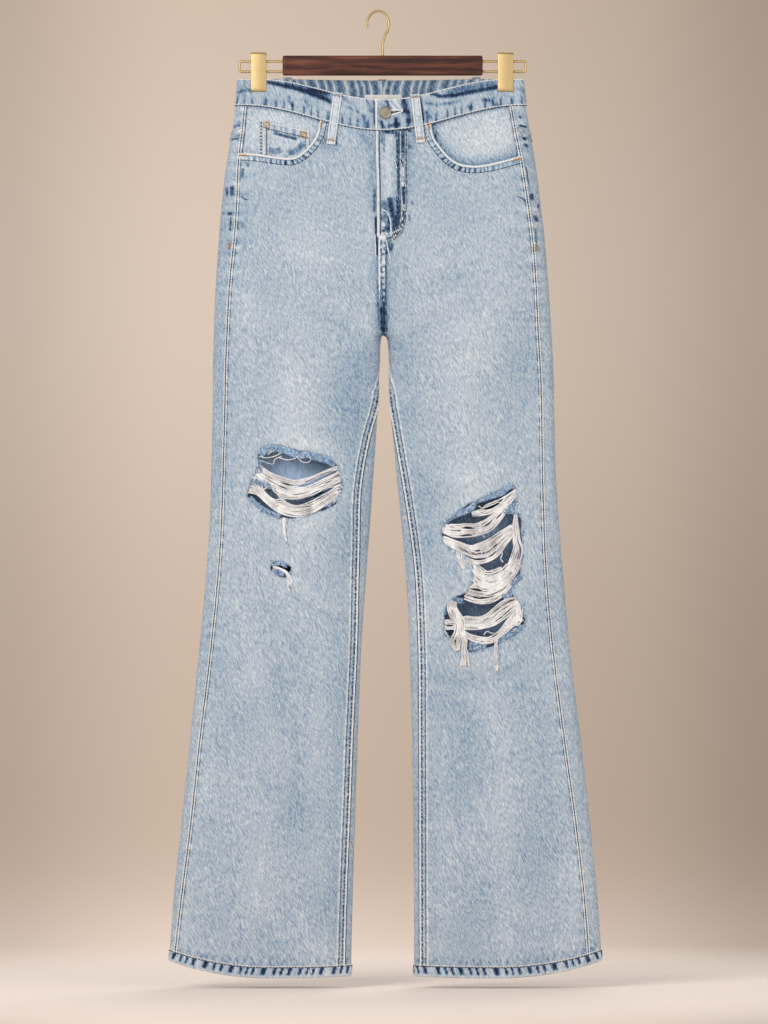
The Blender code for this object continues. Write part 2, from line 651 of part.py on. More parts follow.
def fittings(parts):
    """The button, whose neck goes through the buttonhole, and a blank label inside the back."""
    x, drop = BUTTON
    under = face_depth("front", x, drop) - BAND_PROUD - GAP
    neck = BAND + 4 * GAP
    head = [(BUTTON_R - MM, neck), (BUTTON_R, neck + 0.8 * MM), (BUTTON_R, neck + 1.8 * MM),
            (BUTTON_R - 1.2 * MM, neck + 2.6 * MM)]  # fmt: skip
    profile = [(BUTTON_NECK_R, 0), (BUTTON_NECK_R, neck)] + head
    turned("waist_button", profile, (x, under, -drop), "nickel", parts)
    start, finish, top, foot = LABEL
    back = np.empty((2, 5, 3))
    for r, drop in enumerate((top, foot)):
        for c, x in enumerate(np.linspace(start, finish, 5)):
            y = face_depth("back", x, drop) + BAND_PROUD - BAND - 2 * GAP
            back[r, c] = (x, y, -drop)
    wall("waist_label", back - np.array([0, LABEL_CLOTH, 0]), back, "label", parts)


def wire(name, points, parts):
    """A round wire along smooth points, with filled ends."""
    curve = bpy.data.curves.new(name, "CURVE")
    curve.dimensions = "3D"
    curve.bevel_depth = WIRE_R
    curve.bevel_resolution = 2
    curve.use_fill_caps = True
    line = curve.splines.new("POLY")
    line.points.add(len(points) - 1)
    for point, place in zip(line.points, points):
        point.co = (*place, 1)
    return keep(bpy.data.objects.new(name, curve), name, "brass", parts)


def hook_line():
    """The hook from its tip, over its crown and back under to the stem, which ends in the bar."""
    line = []
    for angle in np.radians(np.linspace(192, -38, 22)):
        line.append(HOOK_R * np.array([math.cos(angle), math.sin(angle)]))
    last = line[-1]
    foot = np.array([STEM_OFFSET, -HOOK_R - NECK_DROP])
    bend = last - NECK_BEND
    for t in np.linspace(0, 1, 7)[1:]:
        line.append((1 - t) ** 2 * last + 2 * t * (1 - t) * bend + t**2 * foot)
    line.append(np.array([STEM_OFFSET, BAR_TOP - STEM_IN_BAR + HOOK_R - WIRE_R]))
    across = np.array([math.cos(HOOK_TURN), -math.sin(HOOK_TURN)])
    return [(*(along * across), up + WIRE_R - HOOK_R) for along, up in line]


def loop_line(sign):
    """A wire loop, out of the bar's end along the top, round two corners and back below."""
    end = sign * (BAR_SIZE[0] / 2 - ROD_IN_BAR)
    line = [(end, ROD_DROPS[0])]
    for middle, angles in ((ROD_DROPS[0] + CORNER_R, (90, 0)), (ROD_DROPS[1] - CORNER_R, (0, -90))):
        for angle in np.radians(np.linspace(*angles, 5)):
            x = sign * (LOOP_END - CORNER_R + CORNER_R * math.cos(angle))
            line.append((x, middle - CORNER_R * math.sin(angle)))
    line.append((end, ROD_DROPS[1]))
    return [(x + MID_X, MID_Y, -drop) for x, drop in line]


def bore(name, place, depth_in, turn, bar, cutters):
    """A blind hole in the wooden bar for a wire's end."""
    bpy.ops.mesh.primitive_cylinder_add(vertices=20, radius=BORE_R, depth=2 * depth_in)
    cutter = bpy.context.object
    cutter.name = name
    cutter.rotation_euler = turn
    cutter.location = place
    hide(cutter, cutters)
    subtract(bar, cutter)


def hanger(parts, cutters):
    """A wooden bar, its wire hook, and a wire loop at each end that carries a brass clip."""
    wire("hanger_hook", hook_line(), parts)
    bpy.ops.mesh.primitive_cube_add(size=1)
    bar = keep(bpy.context.object, "hanger_bar", "walnut", parts)
    bar.data.transform(Matrix.Diagonal((*BAR_SIZE, 1)))
    bar.location = (MID_X, MID_Y, BAR_TOP - BAR_SIZE[2] / 2)
    edge = bar.modifiers.new("edge", "BEVEL")
    edge.width = 1.2 * MM
    edge.segments = 2
    bore("stem_bore", (MID_X, MID_Y, BAR_TOP), STEM_IN_BAR + GAP, (0, 0, 0), bar, cutters)
    for side, sign, middle in (("left", -1, CLIP_X[0]), ("right", 1, CLIP_X[1])):
        wire("hanger_wire_" + side, loop_line(sign), parts)
        for number, drop in enumerate(ROD_DROPS, 1):
            place = (MID_X + sign * BAR_SIZE[0] / 2, MID_Y, -drop)
            name = "rod_bore_%s_%d" % (side, number)
            bore(name, place, ROD_IN_BAR + GAP, (0, math.pi / 2, 0), bar, cutters)
        clip("hanger_clip_" + side, middle, parts)


def clip(name, middle, parts):
    """A folded brass clip: solid over the upper rod, with a jaw down each side of the waistband."""
    outside = CLIP_INSIDE + CLIP_PLATE
    inside_top = -(ROD_DROPS[0] - WIRE_R - GAP)
    foot = CLIP_TOP - CLIP_HEIGHT
    corner = 2.2 * MM
    line = [(outside, foot), (outside, CLIP_TOP - corner), (outside - corner, CLIP_TOP)]
    line += [(-y, z) for y, z in reversed(line)]
    line += [(-CLIP_INSIDE, foot), (-CLIP_INSIDE, inside_top), (CLIP_INSIDE, inside_top),
             (CLIP_INSIDE, foot)]  # fmt: skip
    curve = bpy.data.curves.new(name, "CURVE")
    curve.dimensions = "2D"
    curve.fill_mode = "BOTH"
    curve.extrude = CLIP_WIDTH / 2
    shape = curve.splines.new("POLY")
    shape.points.add(len(line) - 1)
    shape.use_cyclic_u = True
    for point, (y, z) in zip(shape.points, line):
        point.co = (y, z, 0, 1)
    obj = keep(bpy.data.objects.new(name, curve), name, "brass", parts)
    obj.rotation_euler = (math.pi / 2, 0, math.pi / 2)
    obj.location = (MID_X + middle, MID_Y, 0)


def main():
    for obj in list(bpy.data.objects):
        bpy.data.objects.remove(obj)
    parts = bpy.data.collections.new("ripped_jeans_on_clip_hanger")
    cutters = bpy.data.collections.new("cutters")
    for collection in (parts, cutters):
        bpy.context.scene.collection.children.link(collection)
    hanger(parts, cutters)
    backings = front_panels(parts, cutters)
    backs = back_panels(parts)
    waistband(parts, cutters)
    pockets(backings["left"], backs, parts)
    belt_loops(parts)
    fittings(parts)


main()
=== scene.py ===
"""Ripped jeans on a clip hanger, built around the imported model: denim panels, felled seams,
hems, pockets, torn knees with their yarns, fittings, and the wooden hanger with brass clips.

Metres. Left and right are as seen from the front, which faces -Y. Most cloth is worked out in the
jeans' own measures: x from the centre line and drop down from the waist.
"""

import math

import bmesh
import bpy
import numpy as np
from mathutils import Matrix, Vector


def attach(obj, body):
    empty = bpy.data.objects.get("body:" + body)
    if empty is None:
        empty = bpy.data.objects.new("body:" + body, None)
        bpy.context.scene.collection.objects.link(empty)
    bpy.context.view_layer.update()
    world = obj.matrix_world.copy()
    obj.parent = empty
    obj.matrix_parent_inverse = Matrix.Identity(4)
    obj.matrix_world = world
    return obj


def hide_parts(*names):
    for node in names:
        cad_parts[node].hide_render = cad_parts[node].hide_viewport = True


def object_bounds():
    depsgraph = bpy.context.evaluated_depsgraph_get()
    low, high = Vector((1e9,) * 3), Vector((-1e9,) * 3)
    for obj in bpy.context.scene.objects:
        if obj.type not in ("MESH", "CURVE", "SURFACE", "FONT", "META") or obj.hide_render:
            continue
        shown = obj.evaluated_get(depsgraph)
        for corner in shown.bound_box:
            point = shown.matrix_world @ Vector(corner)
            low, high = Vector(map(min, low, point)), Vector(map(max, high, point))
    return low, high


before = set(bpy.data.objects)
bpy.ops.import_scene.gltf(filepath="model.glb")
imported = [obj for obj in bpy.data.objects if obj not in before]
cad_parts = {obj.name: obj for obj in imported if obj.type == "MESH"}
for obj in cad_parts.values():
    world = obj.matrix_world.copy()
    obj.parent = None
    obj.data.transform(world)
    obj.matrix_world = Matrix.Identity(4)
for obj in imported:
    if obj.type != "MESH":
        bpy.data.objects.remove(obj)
cad_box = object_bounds()
scene = bpy.context.scene
scene.view_settings.view_transform = "Standard"

# ---------------------------------------------------------------------------------------------
# Studio: a pale warm backdrop whose painted light is brighter left of the middle, a floor just
# under the hems, two large soft lamps from the front and a weaker one from behind, and the camera
# at mid height.

MM = 0.001
BACKDROP_HALF = (0.037, 0.0505)  # half the backdrop's width and height, as slopes from the camera
BACKDROP_ROWS = (  # how high the eye looks, as a share of that, and the colour there
    (-1.0, "#f3e0d2"), (-0.881, "#efdccd"), (-0.812, "#e4cfc0"), (-0.752, "#dac5b5"),
    (-0.693, "#d2bcab"), (-0.604, "#cbb6a4"), (-0.465, "#ccb7a5"), (-0.168, "#d0bbaa"),
    (0.119, "#d9c5b3"), (0.416, "#decbbb"), (0.703, "#dac7b6"), (1.0, "#d4bfad"),
)
BACKDROP_ACROSS = (  # how far to the right the eye looks, and the brightness there
    (-1.0, 0.885), (-0.865, 0.93), (-0.703, 0.975), (-0.568, 1.0), (-0.405, 1.0), (0.0, 0.975),
    (0.405, 0.925), (0.676, 0.885), (0.838, 0.835), (1.0, 0.78),
)


def linear(colour, alpha=1.0):
    """An sRGB hex colour as linear RGBA."""
    parts = [int(colour[i : i + 2], 16) / 255 for i in (1, 3, 5)]
    found = [c / 12.92 if c <= 0.04045 else ((c + 0.055) / 1.055) ** 2.4 for c in parts]
    return (*found, alpha)


def put(node, **given):
    """Sets a node's settings, whose names start small, and its inputs, whose names start large, to
    values, hex colours, or other nodes and their outputs."""
    for name, value in given.items():
        if name[0].islower():
            setattr(node, name, value)
            continue
        label = name.replace("_", " ")
        socket = next(s for s in node.inputs if label in (s.identifier.replace("_", " "), s.name))
        if isinstance(value, bpy.types.Node):
            value = value.outputs[0]
        if isinstance(value, bpy.types.NodeSocket):
            node.id_data.links.new(value, socket)
        else:
            is_hex = isinstance(value, str) and value.startswith("#")
            socket.default_value = linear(value) if is_hex else value
    return node


def add(tree, kind, **given):
    """A new node with its settings and links: a shader's, or one whose kind is given in full."""
    return put(tree.nodes.new(kind if "Node" in kind else "ShaderNode" + kind), **given)


def stops(ramp, places):
    """Sets a colour ramp's stops, given as (position, hex colour or RGBA)."""
    ramp.color_ramp.interpolation = "B_SPLINE"
    elements = ramp.color_ramp.elements
    while len(elements) < len(places):
        elements.new(0.5)
    for element, (position, colour) in zip(elements, places):
        element.position = position
        element.color = linear(colour) if isinstance(colour, str) else colour


world = bpy.data.worlds.new("studio_backdrop")
scene.world = world
world.use_nodes = True
tree = world.node_tree
tree.nodes.clear()
eye = add(tree, "SeparateXYZ", Vector=add(tree, "TexCoord").outputs["Generated"])
height = add(tree, "MapRange", Value=eye.outputs["Z"], From_Min=-BACKDROP_HALF[1],
    From_Max=BACKDROP_HALF[1])
rows = add(tree, "ValToRGB", Fac=height)
stops(rows, [((z + 1) / 2, colour) for z, colour in BACKDROP_ROWS])
across = add(tree, "MapRange", Value=eye.outputs["X"], From_Min=-BACKDROP_HALF[0],
    From_Max=BACKDROP_HALF[0])
shade = add(tree, "ValToRGB", Fac=across)
stops(shade, [((x + 1) / 2, (v**2.2, v**2.2, v**2.2, 1)) for x, v in BACKDROP_ACROSS])
seen = add(tree, "Mix", data_type="RGBA", blend_type="MULTIPLY", Factor_Float=1.0, A_Color=rows,
    B_Color=shade)
rays = add(tree, "LightPath")
shown = add(tree, "Math", operation="MAXIMUM", Value=rays.outputs["Is Camera Ray"],
    Value_001=rays.outputs["Is Transmission Ray"])
shown = add(tree, "Math", operation="MAXIMUM", Value=shown, Value_001=rays.outputs["Is Glossy Ray"])
lit = add(tree, "Background", Color="#f2f4f6", Strength=0.5)
backdrop = add(tree, "Background", Color=seen.outputs[2])
either = add(tree, "MixShader", Fac=shown, Shader=lit, Shader_001=backdrop)
add(tree, "OutputWorld", Surface=either)

# The floor fades out round its edge, so that it has no line where it ends.
FLOOR_R = 1.35
FLOOR_DROP = 12 * MM
floor_mesh = bpy.data.meshes.new("studio_floor")
floor_shape = bmesh.new()
bmesh.ops.create_circle(floor_shape, cap_ends=True, segments=96, radius=FLOOR_R)
floor_shape.to_mesh(floor_mesh)
floor_shape.free()
for corner in floor_mesh.vertices:
    corner.co.z = cad_box[0][2] - FLOOR_DROP
floor = bpy.data.objects.new("studio_floor", floor_mesh)
scene.collection.objects.link(floor)
paper = bpy.data.materials.new("matt_paper_floor")
paper.use_nodes = True
tree = paper.node_tree
tree.nodes.clear()
place = add(tree, "TexCoord").outputs["Object"]
flat = add(tree, "VectorMath", operation="MULTIPLY", Vector=place, Vector_001=(1, 1, 0))
far = add(tree, "VectorMath", operation="LENGTH", Vector=flat)
fade = add(tree, "MapRange", interpolation_type="SMOOTHSTEP", Value=far.outputs["Value"],
    From_Min=0.42, From_Max=1.3)
paper_look = add(tree, "BsdfDiffuse", Color="#f9e7da")
clear = add(tree, "BsdfTransparent")
mixed = add(tree, "MixShader", Fac=fade, Shader=paper_look, Shader_001=clear)
add(tree, "OutputMaterial", Surface=mixed)
floor_mesh.materials.append(paper)

LAMPS = (  # name, place, size, watts
    ("lamp_key", (-1.5, -2.6, 0.7), 1.6, 62),
    ("lamp_fill", (2.0, -2.4, -0.5), 2.0, 26),
    ("lamp_back", (0.6, 2.4, 0.4), 1.8, 30),
)
for name, spot, size, watts in LAMPS:
    lamp = bpy.data.objects.new(name, bpy.data.lights.new(name, "AREA"))
    lamp.data.size = size
    lamp.data.energy = watts
    lamp.data.color = linear("#ffffff")[:3]
    lamp.location = spot
    aim = np.array([0.0, 0.0, -0.6]) - np.array(spot)
    lamp.rotation_mode = "QUATERNION"
    lamp.rotation_quaternion = Vector(aim).to_track_quat("-Z", "Y")
    scene.collection.objects.link(lamp)

EYE = (7.2 * MM, -12.0, -589.6 * MM)  # level with the middle of the jeans, twelve metres away
VIEW_HEIGHT = 1208 * MM  # seen at the middle plane of the jeans
camera = bpy.data.objects.new("camera", bpy.data.cameras.new("camera"))
camera.location = EYE
camera.rotation_euler = (math.pi / 2, 0, 0)
camera.data.lens = camera.data.sensor_width * (-3.9 * MM - EYE[1]) / VIEW_HEIGHT
camera.data.clip_end = 100
scene.collection.objects.link(camera)
scene.camera = camera

# ---------------------------------------------------------------------------------------------
# Front legs: stone-washed cotton denim, one panel each side, cut to the torn openings and to the
# pockets' mouths. The cloth hangs in a long flat oval, pinched under the clips at the waist.

GAP = 0.3 * MM
CLOTH = 1.6 * MM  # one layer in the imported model
DENIM = 1.1 * MM  # one layer here, beside its separate seams and hems
BAND = 2.6 * MM
MID = np.array([
    6.8 * MM * math.cos(math.radians(35)), -6.8 * MM * math.sin(math.radians(35)), -78.7 * MM,
])  # the jeans' centre line and waist, from the hook's crown
CROTCH = 302 * MM
HEM = 1060 * MM
HEM_CURVE = (0.45, 2 * MM, 20 * MM)
ROLL_POWER = 2.2
PINCH = 2.4 * MM
WAIST_OPENS = 12 * MM
OPENS_OVER = (38 * MM, 125 * MM)
FOLD_OPENS = 2.2 * MM
FOLD_OVER = (5 * MM, 12 * MM)
PINCH_FADE = (18 * MM, 108 * MM)
RISE = {"front": 70 * MM, "back": 105 * MM}
LEAST_RISE = 0.11
OUTLINE_NAMES = (
    "drop", "left_out", "left_in", "right_in", "right_out", "front", "back", "roll_out", "roll_in",
)
OUTLINE = np.array([
    (-10, 170.2, 0.0, 0.0, 165.3, 15, 15, 6, 30),
    (25, 173.0, 0.0, 0.0, 168.2, 17, 18, 10, 30),
    (60, 177.2, 0.0, 0.0, 173.4, 20, 22, 26, 30),
    (100, 184.2, 0.0, 0.0, 180.4, 23, 27, 50, 30),
    (145, 189.6, 0.0, 0.0, 186.2, 24, 30, 62, 28),
    (190, 193.2, 0.0, 0.0, 191.4, 24, 30, 68, 24),
    (245, 197.0, 0.0, 0.0, 195.8, 23, 27, 70, 20),
    (302, 199.2, 0.3, 0.3, 199.4, 22, 24, 70, 22),
    (330, 200.0, 4.2, 6.4, 201.0, 21, 22, 70, 34),
    (380, 200.4, 5.4, 8.7, 202.4, 20, 20, 70, 46),
    (430, 201.4, 8.2, 12.9, 203.4, 19, 19, 68, 52),
    (475, 202.5, 11.4, 17.2, 204.8, 18, 18, 64, 54),
    (520, 204.0, 14.4, 21.6, 208.0, 17, 17, 62, 54),
    (570, 207.2, 18.2, 26.2, 211.9, 17, 17, 62, 54),
    (662, 215.4, 24.4, 31.4, 219.9, 17, 17, 64, 56),
    (780, 227.3, 29.2, 34.7, 234.0, 18, 18, 68, 60),
    (875, 237.0, 32.4, 35.9, 244.6, 19, 19, 72, 62),
    (970, 247.0, 35.2, 37.0, 254.1, 19, 19, 74, 64),
    (1070, 253.4, 37.6, 37.2, 260.0, 19, 19, 76, 66),
]) * MM
SEAM_NAMES = ("drop", "left_outseam", "left_inseam", "right_inseam", "right_outseam")
SEAMS = np.array([
    (0, 10.0, 0.0, 0.0, 18.0),
    (60, 12.0, 0.0, 0.0, 17.0),
    (100, 14.5, 0.0, 0.0, 16.5),
    (145, 18.0, 0.0, 0.0, 15.5),
    (245, 17.0, 0.0, 0.0, 15.0),
    (302, 16.2, 0.2, 0.2, 16.0),
    (380, 15.0, 2.8, 3.0, 15.4),
    (425, 14.6, 12.0, 7.0, 15.8),
    (475, 14.4, 17.4, 10.8, 16.6),
    (570, 14.8, 14.0, 15.4, 20.0),
    (662, 14.0, 9.6, 15.2, 20.6),
    (780, 12.2, 10.4, 12.8, 20.0),
    (875, 11.8, 10.8, 11.8, 17.4),
    (970, 9.6, 11.6, 11.2, 16.4),
    (1070, 5.0, 11.8, 11.2, 14.6),
]) * MM
BAND_DIP = (24.5 * MM, 145 * MM)
BAND_BACK_DIP = 1.2 * MM
BAND_LOW = (31.6 * MM, 30.3 * MM, 165 * MM)
BAND_LOW_BACK = 6.0 * MM
FRONT_LIFT = (6 * MM, 30 * MM)
LAP_FADE = (185 * MM, 212 * MM)
LIFT_FADE = (212 * MM, 262 * MM)
FRONT_ENDS = {"left": 3.7 * MM, "right": -5.0 * MM}


def read(names, table, name, drop):
    """The named column of a table at any drop, by a cubic through its rows."""
    rows = table[:, 0]
    values = table[:, names.index(name)]
    slopes = np.gradient(values, rows)
    i = np.clip(np.searchsorted(rows, drop) - 1, 0, len(rows) - 2)
    step = rows[i + 1] - rows[i]
    t = np.clip((drop - rows[i]) / step, 0, 1)
    start = (2 * t**3 - 3 * t**2 + 1) * values[i] + (t**3 - 2 * t**2 + t) * step * slopes[i]
    end = (3 * t**2 - 2 * t**3) * values[i + 1] + (t**3 - t**2) * step * slopes[i + 1]
    return start + end


BLUNT_OVER = np.array([302, 304.5, 318, 332, 352]) * MM
BLUNT_TOP = {"left_in": (0, 1.4, 0.4, -1.7, 0), "right_in": (0, 4.6, 2.8, 0.4, 0)}


def outline(name, drop):
    """An outline at any drop. The gap between the legs starts almost as wide as it goes on."""
    found = read(OUTLINE_NAMES, OUTLINE, name, drop)
    if name in BLUNT_TOP:
        found = found + np.interp(drop, BLUNT_OVER, BLUNT_TOP[name]) * MM
    return np.maximum(found, 0.0)


def ease(value, low, high):
    """0 below low, 1 above high, and a smooth step between."""
    t = np.clip((value - low) / (high - low), 0, 1)
    return t * t * (3 - 2 * t)


def hump(x, half):
    """1 on the centre line and 0 from half outwards."""
    return np.cos(np.clip(np.abs(x) / half, 0, 1) * math.pi / 2) ** 2


def band_top(x, front):
    return np.where(front, BAND_DIP[0], BAND_BACK_DIP) * hump(x, BAND_DIP[1])


def band_low(x, front):
    more = np.where(front, BAND_LOW[1], BAND_LOW_BACK)
    return BAND_LOW[0] + more * hump(x, BAND_LOW[2])


SEED = {"left": 1.7, "right": 4.2}  # where each leg's own waves and puckers start


def leg_width(side, drop):
    """From the inner to the outer edge of a side's outline."""
    return outline(side + "_out", drop) - outline(side + "_in", drop)


def hem_drop(side, x):
    """The hem's drop, by how far across the leg a point is."""
    out = outline(side + "_out", HEM)
    inner = outline(side + "_in", HEM)
    over = np.clip((np.abs(x) - inner) / (out - inner), 0, 1)
    lowest, inner_rise, outer_rise = HEM_CURVE
    inward = inner_rise * np.clip(1 - over / lowest, 0, 1) ** 2
    outward = outer_rise * np.clip((over - lowest) / (1 - lowest), 0, 1) ** 2
    return HEM - inward - outward


def rolled(inset, width, closing=1.0):
    """How much of its full depth a section has, inset in from its edge."""
    t = closing * np.clip(1 - inset / width, 0, 1)
    return np.clip(1 - t**ROLL_POWER, 0, 1) ** (1 / ROLL_POWER)


def half_depth(face, side, inset, drop):
    """Half the depth of the cloth at a distance in from the silhouette."""
    pinched = PINCH + WAIST_OPENS * ease(inset, *OPENS_OVER)
    pinched = pinched + FOLD_OPENS * (1 - ease(inset, *FOLD_OVER))
    share = ease(drop, *PINCH_FADE)
    full = pinched * (1 - share) + outline(face, drop) * share
    width = leg_width(side, drop)
    up = np.clip((CROTCH - drop) / RISE[face], 0, 1)
    rise = np.maximum(np.sqrt(1 - (1 - up) ** 2), LEAST_RISE)
    closing = np.where(drop >= CROTCH, 1.0, (1 - rise**ROLL_POWER) ** (1 / ROLL_POWER))
    edge = rolled(inset, np.minimum(outline("roll_out", drop), width * 0.5))
    return full * edge * rolled(width - inset, outline("roll_in", drop), closing)


def ring(side, drop, turn):
    """Points of the cloth's outer face: turn is 0 at the outer edge and pi at the inner edge over
    the front, and goes negative round the back."""
    out = outline(side + "_out", drop)
    inset = leg_width(side, drop) * (1 - np.cos(turn)) / 2
    x = (out - inset) * (-1 if side == "left" else 1)
    front = np.sin(turn) > 0
    depths = [half_depth(face, side, inset, drop) for face in ("front", "back")]
    return x, np.where(front, -depths[0], depths[1])


def seam_inset(side, seam, drop):
    """How far in from the silhouette a seam lies on the front face."""
    inset = read(SEAM_NAMES, SEAMS, side + "_" + seam, drop)
    if seam == "outseam":
        return inset
    width = leg_width(side, drop)
    return width - np.where(drop > CROTCH, inset, 0.0)


def seam_x(side, seam, drop):
    """A seam's place from the centre line."""
    x = outline(side + "_out", drop) - seam_inset(side, seam, drop)
    return -x if side == "left" else x


def seam_turn(side, seam, drop):
    width = leg_width(side, drop)
    return math.acos(np.clip(1 - 2 * seam_inset(side, seam, drop) / width, -1, 1))


def path(side, span, drop, beyond=0.0):
    """The section's outer line over one piece. beyond carries it on past the centre line."""
    outer = seam_turn(side, "outseam", drop)
    inner = seam_turn(side, "inseam", drop)
    if span == "front":
        turns = np.linspace(outer, inner, 160)
    elif span == "back":
        turns = np.linspace(outer, inner - 2 * math.pi, 320)
    else:
        turns = np.linspace(-math.pi, math.pi, 400)
    line = np.stack(ring(side, drop, turns), axis=1)
    if beyond * (1 if side == "left" else -1) > 0:
        extra = np.linspace(0, 1, 8)[1:, None] * np.array([beyond - line[-1, 0], 0]) + line[-1]
        line = np.concatenate([line, extra])
    return line


def spaced(line, count, trim, sign, bend=10 * MM):
    """count points along a line, closer together where it bends: X, Y and the outward normal."""
    steps = np.diff(line, axis=0)
    lengths = np.hypot(steps[:, 0], steps[:, 1])
    at = np.concatenate([[0], np.cumsum(lengths)])
    angle = np.unwrap(np.arctan2(steps[:, 1], steps[:, 0]))
    turning = np.abs(np.diff(angle, prepend=angle[0]))
    weight = np.concatenate([[0], np.cumsum(lengths + bend * turning)])
    wanted = np.linspace(np.interp(trim, at, weight), np.interp(at[-1] - trim, at, weight), count)
    x, y = (np.interp(wanted, weight, line[:, k]) for k in (0, 1))
    heading = np.interp(wanted, (weight[1:] + weight[:-1]) / 2, angle)
    return np.stack([x, y, sign * np.sin(heading), -sign * np.cos(heading)], axis=1)


def skin(side, span, count, beyond=None, trim=GAP / 2):
    """A piece's outer face as level rows every 4 mm: (drops, rows of points and normals)."""
    drops = np.arange(-10, 1071, 4) * MM
    sign = (1 if side == "left" else -1) * (-1 if span == "back" else 1)
    found = []
    for drop in drops:
        past = beyond(drop) if beyond else 0.0
        found.append(spaced(path(side, span, drop, past), count, trim, sign))
    return drops, np.array(found)


def at_drops(drops, found, wanted):
    """The skin at the wanted drops, an array of rows by columns: points, and their normals."""
    got = np.empty(wanted.shape + (4,))
    for column in range(wanted.shape[1]):
        for k in range(4):
            got[:, column, k] = np.interp(wanted[:, column], drops, found[:, column, k])
    points = np.dstack([got[..., 0], got[..., 1], -wanted])
    normals = np.dstack([got[..., 2], got[..., 3], np.zeros(wanted.shape)])
    return points, normals / np.linalg.norm(normals, axis=-1, keepdims=True)


def lap_lift(side, x, drop, amount=CLOTH + GAP, over=FRONT_LIFT):
    """How far the right front stands forward at the fly, where it laps over the left one."""
    if side == "left":
        return np.zeros(np.shape(x))
    return amount * (1 - ease(x, *over)) * (1 - ease(drop, *LIFT_FADE))


def stroke(x, drop, points, half):
    """1 on a line through points, in millimetres, falling away over half its width."""
    points = np.reshape(points, (-1, 2))
    px, pd = x / MM, drop / MM
    nearest = np.full(np.shape(px), 1e9)
    for (x0, d0), (x1, d1) in zip(points, points[1:]):
        ux, ud = x1 - x0, d1 - d0
        t = np.clip(((px - x0) * ux + (pd - d0) * ud) / (ux * ux + ud * ud), 0, 1)
        nearest = np.minimum(nearest, (px - x0 - t * ux) ** 2 + (pd - d0 - t * ud) ** 2)
    return np.exp(-nearest / half**2)


def ripple(t, pitch, seed):
    """Uneven puckers between -1 and 1, t and pitch in millimetres along a seam."""
    turn = 2 * math.pi * t / pitch
    return np.sin(turn + 1.3 * np.sin(turn / 3.7 + seed) + 0.9 * np.sin(turn / 7.1 + 2 * seed))


# Creases pressed in by hanging and wear: height, half width, then x, drop, x, drop…, all in mm
FRONT_CREASES = (
    (-1.6, 5, -109, 603, -95, 617, -62, 636, -43, 642), (1.1, 7, -104, 592, -80, 611, -48, 628),
    (1.2, 9, -150, 528, -110, 536, -62, 522), (0.9, 8, -140, 424, -100, 428, -60, 436),
    (-0.9, 2.2, -168, 137, -163, 140.5, -156, 143), (-0.9, 2.2, 156, 140, 162, 139, 168, 141),
    (0.8, 3, 10, 66, 10, 110, 12, 150), (-0.9, 3, 15, 64, 16, 120, 14, 178),
    (0.6, 2.5, 22, 70, 23, 120), (0.8, 3, -20, 150, -14, 185, -20, 240),
    (1.0, 6, -14, 300, -45, 268, -90, 250), (-0.9, 5, -16, 316, -52, 286, -100, 272),
    (0.9, 6, 14, 300, 48, 270, 96, 256), (-0.9, 5, 16, 318, 56, 290, 104, 280),
    (0.8, 5, -24, 232, -66, 214, -110, 206), (0.8, 5, 24, 236, 66, 216, 108, 212),
    (0.7, 6, -120, 106, -132, 140, -150, 176), (0.7, 6, 110, 112, 124, 142, 150, 170),
    (1.1, 10, 66, 470, 104, 474, 140, 462), (1.2, 10, 72, 690, 112, 694, 160, 676),
    (-0.9, 6, 60, 706, 104, 716, 156, 700), (0.9, 12, -150, 700, -120, 820, -150, 980),
    (-0.8, 12, -90, 720, -100, 860, -80, 1000), (0.9, 12, 130, 740, 150, 880, 140, 1010),
    (-0.8, 12, 190, 760, 196, 880, 210, 1000), (0.8, 10, 70, 780, 74, 900, 70, 1000),
)
BACK_CREASES = (
    (1.5, 8, -30, 300, -90, 316, -160, 304), (-1.4, 7, -28, 320, -92, 338, -168, 326),
    (1.5, 8, 30, 302, 92, 318, 164, 304), (-1.4, 7, 30, 322, 96, 340, 168, 328),
    (1.3, 7, -24, 352, -80, 360, -140, 350), (1.3, 7, 28, 354, 84, 362, 146, 350),
    (1.4, 7, -40, 520, -100, 532, -176, 522), (-1.3, 6, -42, 538, -104, 550, -180, 540),
    (1.4, 7, -48, 566, -110, 574, -184, 560), (-1.2, 6, -60, 596, -120, 604, -180, 590),
    (1.4, 7, 44, 524, 104, 534, 180, 520), (-1.3, 6, 48, 542, 108, 552, 182, 540),
    (1.4, 7, 52, 570, 114, 576, 188, 562), (-1.2, 6, 60, 598, 122, 606, 184, 594),
    (0.9, 12, -110, 660, -130, 800, -120, 990), (-0.9, 12, -190, 700, -186, 850, -200, 1000),
    (0.9, 12, 112, 660, 134, 800, 124, 990), (-0.9, 12, 196, 700, 190, 850, 206, 1000),
    (1.0, 9, -20, 250, -40, 262, -64, 290), (1.0, 9, 20, 252, 42, 262, 66, 292),
)


